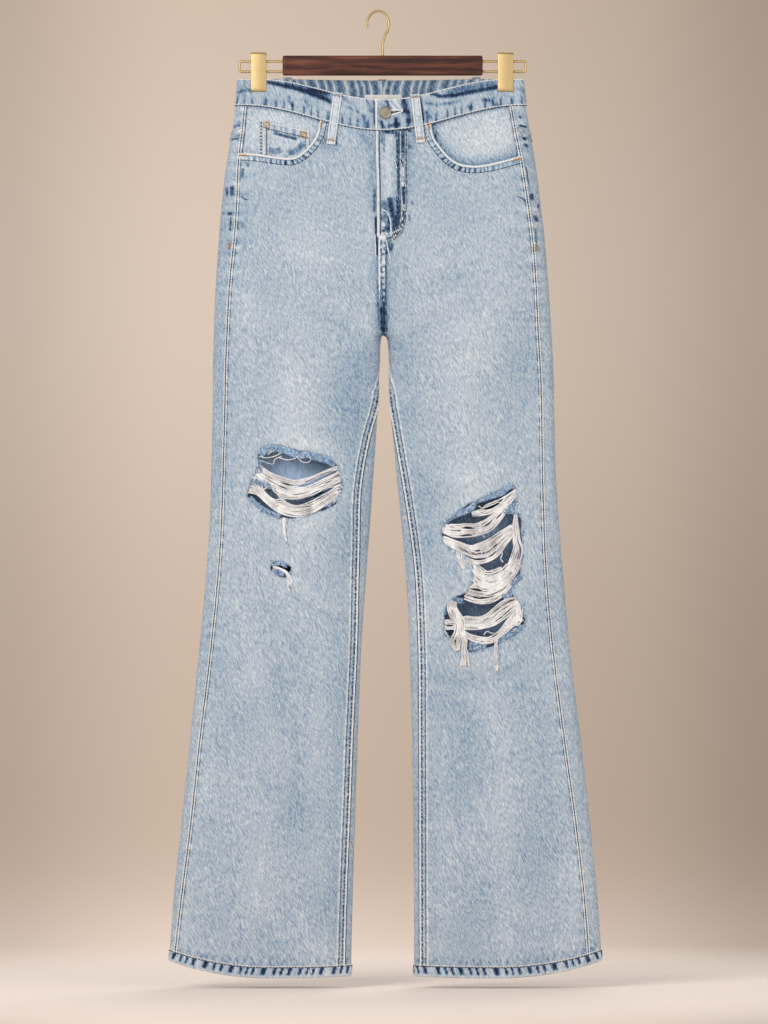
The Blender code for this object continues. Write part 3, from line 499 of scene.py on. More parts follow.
def relief(side, front, x, drop):
    """How far the cloth stands off its plain form: creases, soft waves and puckers by the seams."""
    size = np.zeros(np.shape(x))
    for face, creases in ((True, FRONT_CREASES), (False, BACK_CREASES)):
        for high, half, *line in creases:
            size += np.where(front == face, high * stroke(x, drop, line, half), 0)
    mm_x, mm_drop = np.abs(x) / MM, drop / MM
    seed = SEED[side]
    wave = np.sin(mm_x / 13 + 0.9 * np.sin(mm_drop / 140 + seed) + seed * np.where(front, 1, 2))
    size += 0.55 * wave * ease(mm_drop, 130, 330)
    size += 0.4 * np.sin(mm_x / 29 + mm_drop / 47 + seed) * ease(mm_drop, 90, 200)
    beside = np.abs(mm_x - np.abs(seam_x(side, "outseam", drop)) / MM)
    size += np.where(front, 0.45 * np.exp(-beside / 7) * ripple(mm_drop, 15, seed), 0)
    beside = np.abs(mm_x - np.abs(seam_x(side, "inseam", drop)) / MM)
    near = np.where(front, 0.4 * ease(mm_drop, 190, 230), 0.3) * np.exp(-beside / 7)
    size += near * ripple(mm_drop, 12, seed + 1)
    up = (hem_drop(side, x) - drop) / MM
    size += 0.5 * np.exp(-np.abs(up - 13) / 8) * ripple(mm_x, 10.5, seed + np.where(front, 0, 2))
    low = (drop - band_low(x, front)) / MM
    size += 0.45 * np.exp(-np.clip(low, 0, None) / 9) * ripple(mm_x, 13, seed + 3)
    inset = outline(side + "_out", drop) - np.abs(x)
    edges = ease(inset, 0, 12 * MM) * ease(np.abs(x) - outline(side + "_in", drop), -2 * MM, 8 * MM)
    edges = np.where(drop < CROTCH, ease(inset, 0, 12 * MM), edges)
    return size * MM * edges


def on_cloth(face, side, x, drop, off=0.0):
    """Points at places on the front or back of the jeans, off its outer face, and normals."""
    x, drop = np.broadcast_arrays(np.asarray(x, float), np.asarray(drop, float))
    sign = -1 if side == "left" else 1
    out = outline(side + "_out", drop)
    width = leg_width(side, drop)

    def plain(at):
        inset = np.clip(out - sign * at, 0, width)
        return half_depth(face, side, inset, drop)

    step = 0.4 * MM
    slope = (plain(x + step) - plain(x - step)) / (2 * step)
    slope = np.clip(slope, -4, 4)
    forward = -1 if face == "front" else 1
    y = forward * plain(x)
    if face == "front":
        y = y - lap_lift(side, x, drop)
    normals = np.dstack(np.broadcast_arrays(-slope, forward, 0.0)).reshape(x.shape + (3,))
    normals = normals / np.linalg.norm(normals, axis=-1, keepdims=True)
    raised = relief(side, np.full(x.shape, face == "front"), x, drop) + off
    points = np.stack([x, y, -drop], axis=-1) + normals * np.asarray(raised)[..., None]
    return points, normals


def between(p0, p1, p2, p3, t):
    """The place at t from 0 to 1 on a smooth line from p1 to p2."""
    bend = (2 * p0 - 5 * p1 + 4 * p2 - p3) * t**2 + (3 * p1 - p0 - 3 * p2 + p3) * t**3
    return (2 * p1 + (p2 - p0) * t + bend) / 2


def smooth_closed(corners, steps):
    """A closed smooth line through an outline's points, in metres."""
    points = np.asarray(corners, float) * MM
    fours = list(zip(*(np.roll(points, k, axis=0) for k in (1, 0, -1, -2))))
    return np.array([between(*four, t) for four in fours for t in np.arange(steps) / steps])


def along(corners, step, smooth=True, size=2):
    """An open line through points in millimetres, smoothed, with a point every step, in metres.
    Each point has size numbers."""
    points = np.reshape(np.asarray(corners, float), (-1, size))
    ends = np.concatenate([[2 * points[0] - points[1]], points, [2 * points[-1] - points[-2]]])
    found = []
    for p0, p1, p2, p3 in zip(ends, ends[1:], ends[2:], ends[3:]):
        for t in np.linspace(0, 1, 13)[:-1]:
            found.append(between(p0, p1, p2, p3, t) if smooth else p1 + (p2 - p1) * t)
    found = np.array(found + [points[-1]])
    steps = np.diff(found, axis=0)
    lengths = np.hypot(*steps.T) if size == 2 else np.linalg.norm(steps, axis=1)
    at = np.concatenate([[0], np.cumsum(lengths)])
    wanted = np.linspace(0, at[-1], max(2, round(at[-1] / step) + 1))
    return np.stack([np.interp(wanted, at, found[:, k]) for k in range(size)], axis=1) * MM


def inside(line, x, drop):
    """Whether places lie inside a closed line."""
    within = np.zeros(np.shape(x), bool)
    for (x0, d0), (x1, d1) in zip(line, np.roll(line, -1, axis=0)):
        if d0 == d1:
            continue
        crosses = (d0 > drop) != (d1 > drop)
        within ^= crosses & (x < x0 + (drop - d0) * (x1 - x0) / (d1 - d0))
    return within


def nearest_on(line, x, drop):
    """The distance to a closed line, and the nearest place on it."""
    best = np.full(np.shape(x), 1e9)
    near_x, near_drop = np.zeros(np.shape(x)), np.zeros(np.shape(x))
    for (x0, d0), (x1, d1) in zip(line, np.roll(line, -1, axis=0)):
        ux, ud = x1 - x0, d1 - d0
        t = np.clip(((x - x0) * ux + (drop - d0) * ud) / max(ux * ux + ud * ud, 1e-12), 0, 1)
        far = np.hypot(x - x0 - t * ux, drop - d0 - t * ud)
        closer = far < best
        best = np.where(closer, far, best)
        near_x = np.where(closer, x0 + t * ux, near_x)
        near_drop = np.where(closer, d0 + t * ud, near_drop)
    return best, near_x, near_drop


LEFT_RIP = (
    (-147, 442), (-133, 432), (-101, 438), (-64, 447), (-51, 462), (-48, 480), (-54, 500),
    (-87, 514), (-121, 518), (-150, 503), (-159, 490), (-152, 471), (-145, 457),
)
SMALL_RIP = ((-132, 575), (-124, 569), (-112, 573), (-108, 582), (-114, 588), (-126, 584))
RIGHT_RIP = (
    (150, 480), (157, 486), (154, 508), (163, 520), (164, 558), (160, 590), (149, 601), (156, 612),
    (166, 630), (165, 648), (144, 662), (104, 675), (79, 657), (72, 640), (80, 617), (99, 603),
    (107, 588), (103, 568), (85, 556), (73, 548), (71, 528), (87, 513), (106, 499), (132, 489),
)
LEFT_MOUTH = (
    (-73.5, 51), (-76, 64), (-81, 74), (-88.5, 83), (-98, 91), (-107, 94.5), (-119, 94.2),
    (-132, 92.4), (-150, 89.8), (-176, 88),
)
RIGHT_MOUTH = (
    (56, 52), (59, 68), (66.5, 80.5), (78.5, 94), (91, 101.5), (108, 104), (125, 102),
    (142, 98), (160, 93), (176, 89),
)


def in_frame(points):
    """From the jeans' own centre line and waist to the hook's crown."""
    return np.asarray(points) + MID


def piece(name, points, faces, finishes, fade=None, inner=None):
    """A mesh piece from points in the jeans' own measures. fade holds how washed out each is, and
    inner the same for its inner face with any painted light added, where that differs."""
    mesh = bpy.data.meshes.new(name)
    mesh.from_pydata(in_frame(points).tolist(), [], faces)
    mesh.polygons.foreach_set("use_smooth", [True] * len(mesh.polygons))
    for finish in finishes:
        mesh.materials.append(finish)
    for label, values in (("fade", fade), ("inner_fade_and_light", fade if inner is None else inner)):
        if values is not None:
            layer = mesh.attributes.new(label, "FLOAT", "POINT")
            layer.data.foreach_set("value", np.clip(values, 0, 1).ravel())
    obj = bpy.data.objects.new(name, mesh)
    scene.collection.objects.link(obj)
    return obj


def grid_faces(points, normals, keep=None):
    """Quads between the rows and columns of a grid of points, facing along its normals."""
    rows, columns = points.shape[:2]
    index = np.arange(rows * columns).reshape(rows, columns)
    quads = np.stack([index[:-1, :-1], index[1:, :-1], index[1:, 1:], index[:-1, 1:]], axis=-1)
    down = points[1:, :-1] - points[:-1, :-1]
    across = points[:-1, 1:] - points[:-1, :-1]
    if (np.cross(down, across) * normals[:-1, :-1]).sum() < 0:
        quads = quads[..., ::-1]
    if keep is not None:
        quads = quads[keep]
    return quads.reshape(-1, 4).tolist()


def thicken(obj, thickness, inner_finish=0):
    wall = obj.modifiers.new("cloth thickness", "SOLIDIFY")
    wall.thickness = thickness
    wall.offset = -1
    wall.use_even_offset = False
    wall.material_offset = inner_finish
    return obj


def panel_rows(top, foot, start, fine=()):
    """Drops of a panel's rows, 3.2 mm apart and closer in the torn stretches. They follow its top
    edge down to the hips, then lie level, and follow its hem at the foot."""
    plain = [start]
    while plain[-1] < 1060:
        close = any(low <= plain[-1] <= high for low, high in fine)
        plain.append(min(plain[-1] + (1.6 if close else 3.2), 1060))
    row = np.array(plain)[:, None] * MM
    hips, shins = 130 * MM, 1030 * MM
    upper = top + (row - start * MM) * (hips - top) / ((130 - start) * MM)
    lower = shins + (row - shins) * (foot - shins) / (30 * MM)
    return np.where(row < hips, upper, np.where(row > shins, lower, row))


# How washed out the cloth is, with some strokes on the front that are painted shade: change, half
# width, then x, drop, x, drop…, all in mm
FRONT_WASH_AND_SHADE = (
    (0.07, 30, -112, 280, -108, 420), (0.05, 32, -108, 520, -112, 600),
    (0.08, 30, 84, 280, 92, 470), (0.01, 32, 112, 480, 118, 690), (-0.1, 22, -26, 330, -34, 560),
    (-0.08, 22, 30, 330, 42, 560), (-0.05, 18, -186, 150, -190, 480),
    (0.02, 18, 186, 150, 192, 480), (0.04, 26, -70, 210, -120, 205), (0.04, 26, 70, 210, 120, 205),
    (-0.05, 20, -48, 700, -60, 1000), (-0.05, 20, 52, 700, 58, 1000),
    (-0.025, 90, -115, 700, -125, 1000), (-0.03, 90, 120, 700, 130, 1000),
    # Painted shade: the stroke at x -11 just left of the fly's lapped edge, and on the next line
    # the two down the middle from drop 196, between the legs.
    (-0.35, 5.0, 10, 146, 12, 160, 13, 180), (-0.12, 5, -11, 66, -12, 150),
    (0.1, 4, 4, 72, 7, 110, 6, 140), (-0.2, 6, -2, 196, 0, 300), (-0.12, 10, 0, 200, 0, 310),
    (-0.14, 5, 33, 64, 34, 80), (-0.12, 7, 31, 82, 29, 130), (-0.14, 4, -26, 64, -18, 76),
    (-0.12, 6, -66, 66, -58, 80), (-0.14, 4, -70, 72, -66, 82),
)
BACK_WASH = (
    (0.12, 44, -100, 290, -104, 460), (0.12, 44, 102, 290, 106, 460),
    (0.08, 30, -60, 210, -110, 240), (0.08, 30, 60, 210, 110, 240), (-0.06, 26, -24, 320, -34, 560),
    (-0.06, 26, 26, 320, 36, 560), (0.07, 20, -60, 530, -170, 530), (0.07, 20, 60, 530, 176, 530),
    (0.06, 44, -130, 760, -150, 980), (0.06, 44, 134, 770, 160, 980),
)


def washed(side, front, x, drop):
    """The cloth's fade, from 0 for raw indigo to 1 for bleached, with painted shade where the
    front's table puts it. Creases and seams pick it out.
    """
    mm_x, mm_drop = x / MM, drop / MM
    found = np.full(np.shape(x), 0.685)
    for face, places in ((True, FRONT_WASH_AND_SHADE), (False, BACK_WASH)):
        for change, half, *line in places:
            found += np.where(front == face, change * stroke(x, drop, line, half), 0)
    seed = SEED[side]
    cloud = np.sin(mm_x / 17 + 1.7 * np.sin(mm_drop / 31 + seed))
    found += 0.010 * (cloud + np.sin(mm_drop / 23 + mm_x / 37 + seed))
    high = relief(side, front, x, drop) / MM
    found += 0.035 * np.clip(high, -2, 2)
    beside = np.abs(np.abs(mm_x) - np.abs(seam_x(side, "outseam", drop)) / MM)
    marks = ripple(mm_drop, 15, seed)
    strong = 0.05 + 0.16 * (1 - ease(mm_drop, 170, 340))
    found += np.where(front, np.exp(-beside / 6) * marks * strong, 0)
    beside = np.abs(np.abs(mm_x) - np.abs(seam_x(side, "inseam", drop)) / MM)
    found += np.exp(-beside / 5) * ripple(mm_drop, 12, seed + 1) * 0.05 * ease(mm_drop, 300, 330)
    up = (hem_drop(side, x) - drop) / MM
    found += 0.07 * np.exp(-np.abs(up - 14) / 7) * ripple(mm_x, 10.0, seed + np.where(front, 0, 2))
    slanting = np.clip(ripple(mm_x - 0.5 * up, 8.0, seed + 1) - 0.3, 0, 1)
    found -= 0.45 * np.exp(-(((up - 19) / 4) ** 2)) * slanting
    low = (drop - band_low(x, front)) / MM
    found += 0.07 * np.exp(-np.clip(low, 0, None) / 7) * ripple(mm_x, 12, seed + 3)
    return found


def blank_finish(name):
    """A new material, its nodes, its shader and places on the piece that wears it."""
    made = bpy.data.materials.new(name)
    made.use_nodes = True
    tree = made.node_tree
    return made, tree, tree.nodes["Principled BSDF"], add(tree, "TexCoord").outputs["Object"]


def washed_denim(name, slub_across, shades, attribute="fade"):
    """Cotton twill, blue warp over white weft, stone-washed nearly white on its high places: matt,
    with short slubs slanting down the legs, a fine grain and soft clouding. The real twill is
    0.5 mm from rib to rib; it is drawn at 1.1 mm, which still shows."""
    made, tree, shader, place = blank_finish(name)
    slanted = add(tree, "Mapping", vector_type="TEXTURE", Vector=place,
                  Rotation=(0, math.radians(-22), 0), Scale=(slub_across * MM, 2.0 * MM, 5.5 * MM))
    slub = add(tree, "TexNoise", Vector=slanted, Scale=1, Detail=2)
    grain = add(tree, "TexNoise", Vector=place, Scale=1 / (1.1 * MM), Detail=3)
    cloud = add(tree, "TexNoise", Vector=place, Scale=1 / (34 * MM), Detail=4)
    total = add(tree, "Attribute", attribute_name=attribute).outputs["Fac"]
    for noise, share in ((slub, 0.95), (grain, 0.45), (cloud, 0.10)):
        centred = add(tree, "Math", operation="SUBTRACT", Value=noise, Value_001=0.5)
        total = add(tree, "Math", operation="MULTIPLY_ADD", Value=centred, Value_001=share,
                    Value_002=total)
    colour = add(tree, "ValToRGB", Fac=total)
    stops(colour, list(zip(SHADE_STEPS, shades)))
    colour.color_ramp.interpolation = "LINEAR"
    twill = add(tree, "Mapping", Vector=place, Rotation=(0, math.radians(-35), 0),
                Scale=(1 / (1.1 * MM),) * 3)
    ribs = add(tree, "TexWave", bands_direction="X", Vector=twill, Scale=0.5, Distortion=2.5,
               Detail=1)
    height = add(tree, "Math", operation="MULTIPLY_ADD", Value=ribs.outputs["Fac"],
                 Value_001=0.35, Value_002=slub)
    bump = add(tree, "Bump", Height=height, Strength=0.55, Distance=0.5 * MM)
    put(shader, Base_Color=colour, Normal=bump, Roughness=0.88, Specular_IOR_Level=0.25,
        Sheen_Weight=0.12, Sheen_Roughness=0.5)
    return made


SHADE_STEPS = (0.0, 0.15, 0.34, 0.55, 0.76, 1.0)  # from raw indigo to bleached
denim = washed_denim("stone_washed_cotton_denim", 1.1, (
    "#142034", "#2b4162", "#5c7693", "#8da0b1", "#b6bec5", "#dddfe0"))
# The inner face is darker than the cloth's own, which is painted shade inside the legs; its palest
# stop is reached only where painted light brightens it through the upper left tear.
denim_inside = washed_denim("denim_inner_face_dark_weft", 1.1, (
    "#1b2840", "#30466a", "#516e98", "#708cb0", "#8aa0bb", "#c1daf5"), "inner_fade_and_light")

TEAR_SEED = 11


def torn(corners, steps, seed):
    """A torn opening's edge: the smooth outline with small uneven nicks."""
    line = smooth_closed(corners, steps)
    noise = np.random.default_rng(seed).normal(0, 1, (len(line), 2))
    noise = (noise + np.roll(noise, 1, axis=0)) / 2
    return line + noise * 0.8 * MM


def denim_layer(name, points, normals, fade, keep=None, inner=None):
    """A piece cut from denim, one wall thick, through a grid of points, where keep is true."""
    faces = grid_faces(points, normals, keep)
    made = piece(name, points.reshape(-1, 3), faces, [denim, denim_inside], fade, inner)
    if keep is not None:
        shape = bmesh.new()
        shape.from_mesh(made.data)
        loose = [corner for corner in shape.verts if not corner.link_faces]
        bmesh.ops.delete(shape, geom=loose, context="VERTS")
        shape.to_mesh(made.data)
        shape.free()
    return thicken(made, DENIM, 1)


RIPS = {
    "left": [torn(LEFT_RIP, 9, TEAR_SEED), torn(SMALL_RIP, 6, TEAR_SEED + 1)],
    "right": [torn(RIGHT_RIP, 6, TEAR_SEED + 2)],
}
MOUTHS = {"left": LEFT_MOUTH, "right": RIGHT_MOUTH}
FRONT_COLUMNS = 74
fronts = {}
for side, fine in (("left", ((428, 524), (564, 592))), ("right", ((476, 680),))):
    share = np.linspace(0, 1, FRONT_COLUMNS)
    x_top = seam_x(side, "outseam", 60 * MM) * (1 - share)
    x_foot = seam_x(side, "outseam", HEM) * (1 - share) + seam_x(side, "inseam", HEM) * share
    drop = panel_rows(band_low(x_top, True) - 2 * MM, hem_drop(side, x_foot) - 1.5 * MM, 30, fine)
    inner = np.where(drop > CROTCH, seam_x(side, "inseam", drop), 0.0)
    inner += FRONT_ENDS[side] * (1 - ease(drop, *LAP_FADE))
    outer = seam_x(side, "outseam", drop)
    x = outer + (inner - outer) * share
    mouth = along(MOUTHS[side], 1.5)
    corner = np.array([(mouth[-1, 0], 10 * MM), (mouth[0, 0], 10 * MM)])
    gone = np.zeros((len(drop) - 1, FRONT_COLUMNS - 1), bool)
    for line in RIPS[side] + [np.concatenate([mouth, corner])]:
        far, near_x, near_drop = nearest_on(line, x, drop)
        spacing = np.maximum(np.abs(np.gradient(x, axis=1)), np.abs(np.gradient(drop, axis=0)))
        snapped = far < 0.52 * spacing
        x = np.where(snapped, near_x, x)
        drop = np.where(snapped, near_drop, drop)
        mid_x = (x[:-1, :-1] + x[1:, :-1] + x[1:, 1:] + x[:-1, 1:]) / 4
        mid_drop = (drop[:-1, :-1] + drop[1:, :-1] + drop[1:, 1:] + drop[:-1, 1:]) / 4
        gone |= inside(line, mid_x, mid_drop)
    points, normals = on_cloth("front", side, x, drop)
    edge_near = np.min([nearest_on(line, x, drop)[0] for line in RIPS[side]], axis=0) / MM
    fade = washed(side, np.full(x.shape, True), x, drop)
    fade += 0.05 * np.exp(-((edge_near / 16) ** 2)) - 0.16 * np.exp(-((edge_near / 1.8) ** 2))
    curl = 0.8 * np.exp(-((edge_near / 4) ** 2)) * np.sin(x / MM / 5 + drop / MM / 4)
    points = points + normals * curl[..., None] * MM
    panel = denim_layer("denim_front_" + side, points, normals, fade, ~gone)
    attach(panel, "root")
    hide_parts("front_" + side)
    fronts[side] = panel

# ---------------------------------------------------------------------------------------------
# Back legs and yokes: the same denim. Each back wraps round to the seams in front, and the yoke
# above it is cut slanting, so that the back rises towards its middle.

YOKE = (62 * MM, 108 * MM)
BACK_COLUMNS = 70
# Painted light: the back's inner face is lightened where it shows through the upper left tear.
PAINTED_LIGHT_INSIDE = (-122, 462, -72, 462)  # where the back shows pale through the upper left tear, mm
backs = {}
yokes = {}
back_skins = {}
for side in ("left", "right"):
    drops, found = skin(side, "back", BACK_COLUMNS, trim=0)
    back_skins[side] = (drops, found)
    share = np.linspace(0, 1, BACK_COLUMNS)
    seam = YOKE[0] + (YOKE[1] - YOKE[0]) * share
    front = found[18, :, 1] < 0
    top = band_low(found[10, :, 0], front) - 2 * MM
    foot = hem_drop(side, found[-3, :, 0]) - 1.5 * MM
    steps = np.linspace(0, 1, 16)[:, None]
    for kind, drop, store in (
        ("yoke", top + (seam - top) * steps, yokes),
        ("back", panel_rows(seam, foot, 62), backs),
    ):
        points, normals = at_drops(drops, found, drop)
        front_face = points[..., 1] < 0
        raised = relief(side, front_face, points[..., 0], drop)
        fade = washed(side, front_face, points[..., 0], drop)
        points = points + normals * raised[..., None]
        # Painted light on the inner face only, behind the upper left tear.
        painted_light_patch = stroke(points[..., 0], drop, PAINTED_LIGHT_INSIDE, 26)
        inner = fade + 0.75 * np.where(front_face, 0, painted_light_patch)
        made = denim_layer("denim_%s_%s" % (kind, side), points, normals, fade, None, inner)
        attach(made, "root")
        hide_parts("%s_%s" % (kind, side))
        store[side] = made

# ---------------------------------------------------------------------------------------------
# Sewn seams: each is a narrow fold of denim lying on the panels. The outseams are a close double
# row, and the inseams, the crotch, the yokes and the centre back are felled bands with puckers.
# Sewing thread is thick cotton-wrapped polyester, in stitches 3.6 mm apart.


def closed_piece(name, loops, finishes, fade, ends=True):
    """A closed tube of cloth: loops is rows of cross-sections, each a closed ring of points."""
    count, around = loops.shape[:2]
    index = np.arange(count * around).reshape(count, around)
    after = np.roll(index, -1, axis=0)
    quads = [index, after, np.roll(after, -1, axis=1), np.roll(index, -1, axis=1)]
    quads = np.stack(quads, axis=-1)[: count - 1 if ends else count]
    faces = quads.reshape(-1, 4).tolist()
    if ends:
        faces += [index[0].tolist(), index[-1][::-1].tolist()]
    made = piece(name, loops.reshape(-1, 3), faces, finishes, fade)
    shape = bmesh.new()
    shape.from_mesh(made.data)
    bmesh.ops.recalc_face_normals(shape, faces=shape.faces)
    if shape.calc_volume(signed=True) < 0:
        bmesh.ops.reverse_faces(shape, faces=shape.faces)
    shape.to_mesh(made.data)
    shape.free()
    return made


def joined(name, parts):
    """Pieces made into one, which rides as the rest does."""
    with bpy.context.temp_override(active_object=parts[0], selected_editable_objects=parts):
        bpy.ops.object.join()
    parts[0].name = name
    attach(parts[0], "root")
    return parts[0]


def lengths_along(line):
    """How far along a line each of its points is, in millimetres."""
    return np.concatenate([[0], np.cumsum(np.hypot(*np.diff(line, axis=0).T))]) / MM


def beside(line, shifts):
    """Lines beside a line of (x, drop), shifted across it in mm: to +X where it heads down."""
    heading = np.gradient(line, axis=0)
    heading /= np.linalg.norm(heading, axis=1, keepdims=True)
    across = np.stack([heading[:, 1], -heading[:, 0]], axis=1)
    return line[:, None] + across[:, None] * np.asarray(shifts)[None, :, None] * MM


def washed_under(side, line, section):
    """The front's fade where a strip with a section lies along a line."""
    return washed(side, True, *np.moveaxis(beside(line, [s[0] for s in section]), -1, 0))


def strip(name, face, side, line, section, marks=0.0, pitch=12.0, seed=1.0, fade=None, finish=None,
          limit=None):
    """A closed strip of cloth on the panels, along a line of (x, drop). Its section is a ring of
    (across, height, change of fade). Puckers come every pitch and darken it by marks, and limit
    holds how near the middle each of its rows may come."""
    shifts, heights, changes = (np.array(v, float) for v in zip(*section))
    places = beside(line, shifts)
    if limit is not None:
        way = -1 if side == "left" else 1
        places[..., 0] = way * np.maximum(way * places[..., 0], limit[:, None])
    t = lengths_along(line)[:, None]
    puckers = ripple(t + 0.35 * shifts, pitch, seed)
    top = np.where(heights > 0.3, 1.0, 0.0)
    off = (heights + 0.16 * puckers * top * min(1.0, marks * 8)) * MM
    x, drop = places[..., 0], places[..., 1]
    points, _ = on_cloth(face, side, x, drop, off)
    if fade is None:
        fade = washed(side, np.full(x.shape, face == "front"), x, drop)
    tone = fade + changes + marks * puckers * top
    return closed_piece(name, points, [finish or denim], tone)


def node_tree(name, **inputs):
    """An empty tree of geometry nodes with its named inputs. Returns it with its two ends."""
    tree = bpy.data.node_groups.new(name, "GeometryNodeTree")
    for label, kind in (("Lines", "Geometry"), *inputs.items()):
        tree.interface.new_socket(label, in_out="INPUT", socket_type="NodeSocket" + kind)
    tree.interface.new_socket("Pieces", in_out="OUTPUT", socket_type="NodeSocketGeometry")
    return tree, add(tree, "NodeGroupInput").outputs, add(tree, "NodeGroupOutput")


def end_tree(tree, shape, finish, result):
    """Ends a tree: real meshes, smooth, in their finish."""
    real = add(tree, "GeometryNodeRealizeInstances", Geometry=shape)
    smooth = add(tree, "GeometryNodeSetShadeSmooth", Geometry=real)
    put(result, Pieces=add(tree, "GeometryNodeSetMaterial", Geometry=smooth, Material=finish))


tree, given, result = node_tree(
    "sewn_stitches", Pitch="Float", Length="Float", Radius="Float", Thread="Material"
)
line = add(tree, "GeometryNodeMeshToCurve", Mesh=given["Lines"])
spots = add(tree, "GeometryNodeCurveToPoints", mode="LENGTH", Curve=line, Length=given["Pitch"])
turn = add(tree, "FunctionNodeAlignRotationToVector", axis="Z", Vector=spots.outputs["Tangent"])
thread = add(tree, "GeometryNodeMeshUVSphere", Segments=5, Rings=3, Radius=1.05)
half = add(tree, "Math", operation="MULTIPLY", Value=given["Length"], Value_001=0.5)
size = add(tree, "CombineXYZ", X=given["Radius"], Y=given["Radius"], Z=half)
placed = add(tree, "GeometryNodeInstanceOnPoints", Points=spots, Instance=thread, Rotation=turn,
             Scale=size)
end_tree(tree, placed, given["Thread"], result)
stitch_tree = tree

tree, given, result = node_tree("round_yarns", Sides="Int", Yarn="Material")
line = add(tree, "GeometryNodeMeshToCurve", Mesh=given["Lines"])
thick = add(tree, "GeometryNodeInputNamedAttribute", data_type="FLOAT", Name="thick")
ring_shape = add(tree, "GeometryNodeCurvePrimitiveCircle", Resolution=given["Sides"], Radius=1.0)
swept = add(tree, "GeometryNodeCurveToMesh", Curve=line, Profile_Curve=ring_shape,
            Fill_Caps=True, Scale=thick)
end_tree(tree, swept, given["Yarn"], result)
yarn_tree = tree


def from_lines(name, lines, tree, values, thick=None):
    """A plain mesh piece that a tree makes from lines of points in the jeans' own measures."""
    edges, start = [], 0
    for points in lines:
        edges += [(i, i + 1) for i in range(start, start + len(points) - 1)]
        start += len(points)
    mesh = bpy.data.meshes.new(name)
    mesh.from_pydata(in_frame(np.concatenate(lines)).tolist(), edges, [])
    if thick is not None:
        layer = mesh.attributes.new("thick", "FLOAT", "POINT")
        layer.data.foreach_set("value", np.concatenate(thick))
    made = bpy.data.objects.new(name, mesh)
    scene.collection.objects.link(made)
    grown = made.modifiers.new(tree.name, "NODES")
    grown.node_group = tree
    for socket in tree.interface.items_tree:
        if socket.name in values:
            grown[socket.identifier] = values[socket.name]
    bpy.context.view_layer.update()
    evaluated = made.evaluated_get(bpy.context.evaluated_depsgraph_get())
    solid = bpy.data.meshes.new_from_object(evaluated)
    made.modifiers.clear()
    made.data = solid
    solid.name = name
    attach(made, "root")
    return made


def sewing_thread(name, colour, dark):
    """Cotton-wrapped polyester sewing thread: matt, twisted about once in 1.2 mm. The twist is
    drawn as fine bands."""
    made, tree, shader, place = blank_finish(name)
    twist = add(tree, "TexNoise", Vector=place, Scale=1 / (1.2 * MM), Detail=2)
    tint = add(tree, "Mix", data_type="RGBA", Factor_Float=twist, A_Color=dark, B_Color=colour)
    bump = add(tree, "Bump", Height=twist, Strength=0.4, Distance=0.3 * MM)
    put(shader, Base_Color=tint.outputs[2], Normal=bump, Roughness=0.8, Specular_IOR_Level=0.3)
    return made


white_thread = sewing_thread("white_sewing_thread", "#fbf7ee", "#e6dfd2")
tan_thread = sewing_thread("tan_sewing_thread", "#b8a58f", "#8a7663")
brown_thread = sewing_thread("brown_sewing_thread", "#6b5a50", "#3f342f")
blue_thread = sewing_thread("indigo_thread_and_shadow_lines", "#2c3f5c", "#1b2a42")
dark_brown_thread = sewing_thread("dark_brown_sewing_thread", "#503c31", "#2c211c")


def sew(name, rows, thread, pitch=3.6, length=3.7, radius=0.62):
    """Stitches along lines of points."""
    values = {"Pitch": pitch * MM, "Length": length * MM, "Radius": radius * MM, "Thread": thread}
    return from_lines(name, rows, stitch_tree, values)


def row_on(face, side, line, shift, height):
    """A row of stitches beside a line of (x, drop): its shift across and its height, in mm."""
    return on_cloth(face, side, *beside(line, [shift]).T, height * MM)[0][0]


with_panel = {("front", "left"): [], ("front", "right"): [], ("back", "left"): [],
              ("back", "right"): []}
SEAM_STEP = 2.0  # mm between a strip's cross-sections
# The darkest changes, in the groove between the rows and along the far edge, keep their indigo and
# are partly painted shade.
DOUBLE_ROW = (  # across towards the middle, height and change of fade, round the section
    (-2.3, -0.3, -0.1), (-2.3, 0.3, 0.02), (-1.7, 0.75, 0.08), (-0.6, 0.7, 0.0),
    (-0.25, 0.1, -0.62),
    (0.25, 0.1, -0.62), (0.6, 0.75, 0.0), (1.8, 0.85, 0.06), (2.5, 0.5, -0.1), (3.0, 0.1, -0.62),
    (3.0, -0.3, -0.5),
)
FELLED = (
    (-5.4, -0.3, -0.6), (-5.2, 0.35, -0.7), (-4.5, 0.5, -0.7), (-4.0, 0.9, 0.1), (-3.2, 1.0, 0.3),
    (-2.2, 0.9, 0.2), (-1.6, 0.6, 0.0), (-0.5, 0.55, 0.0), (0.3, 0.8, 0.02), (1.9, 0.8, 0.04),
    (2.7, 0.6, 0.0), (3.6, 0.6, 0.0), (4.3, 0.8, 0.15), (5.4, 0.45, 0.25), (6.0, 0.0, 0.1),
    (6.0, -0.3, -0.2),
)
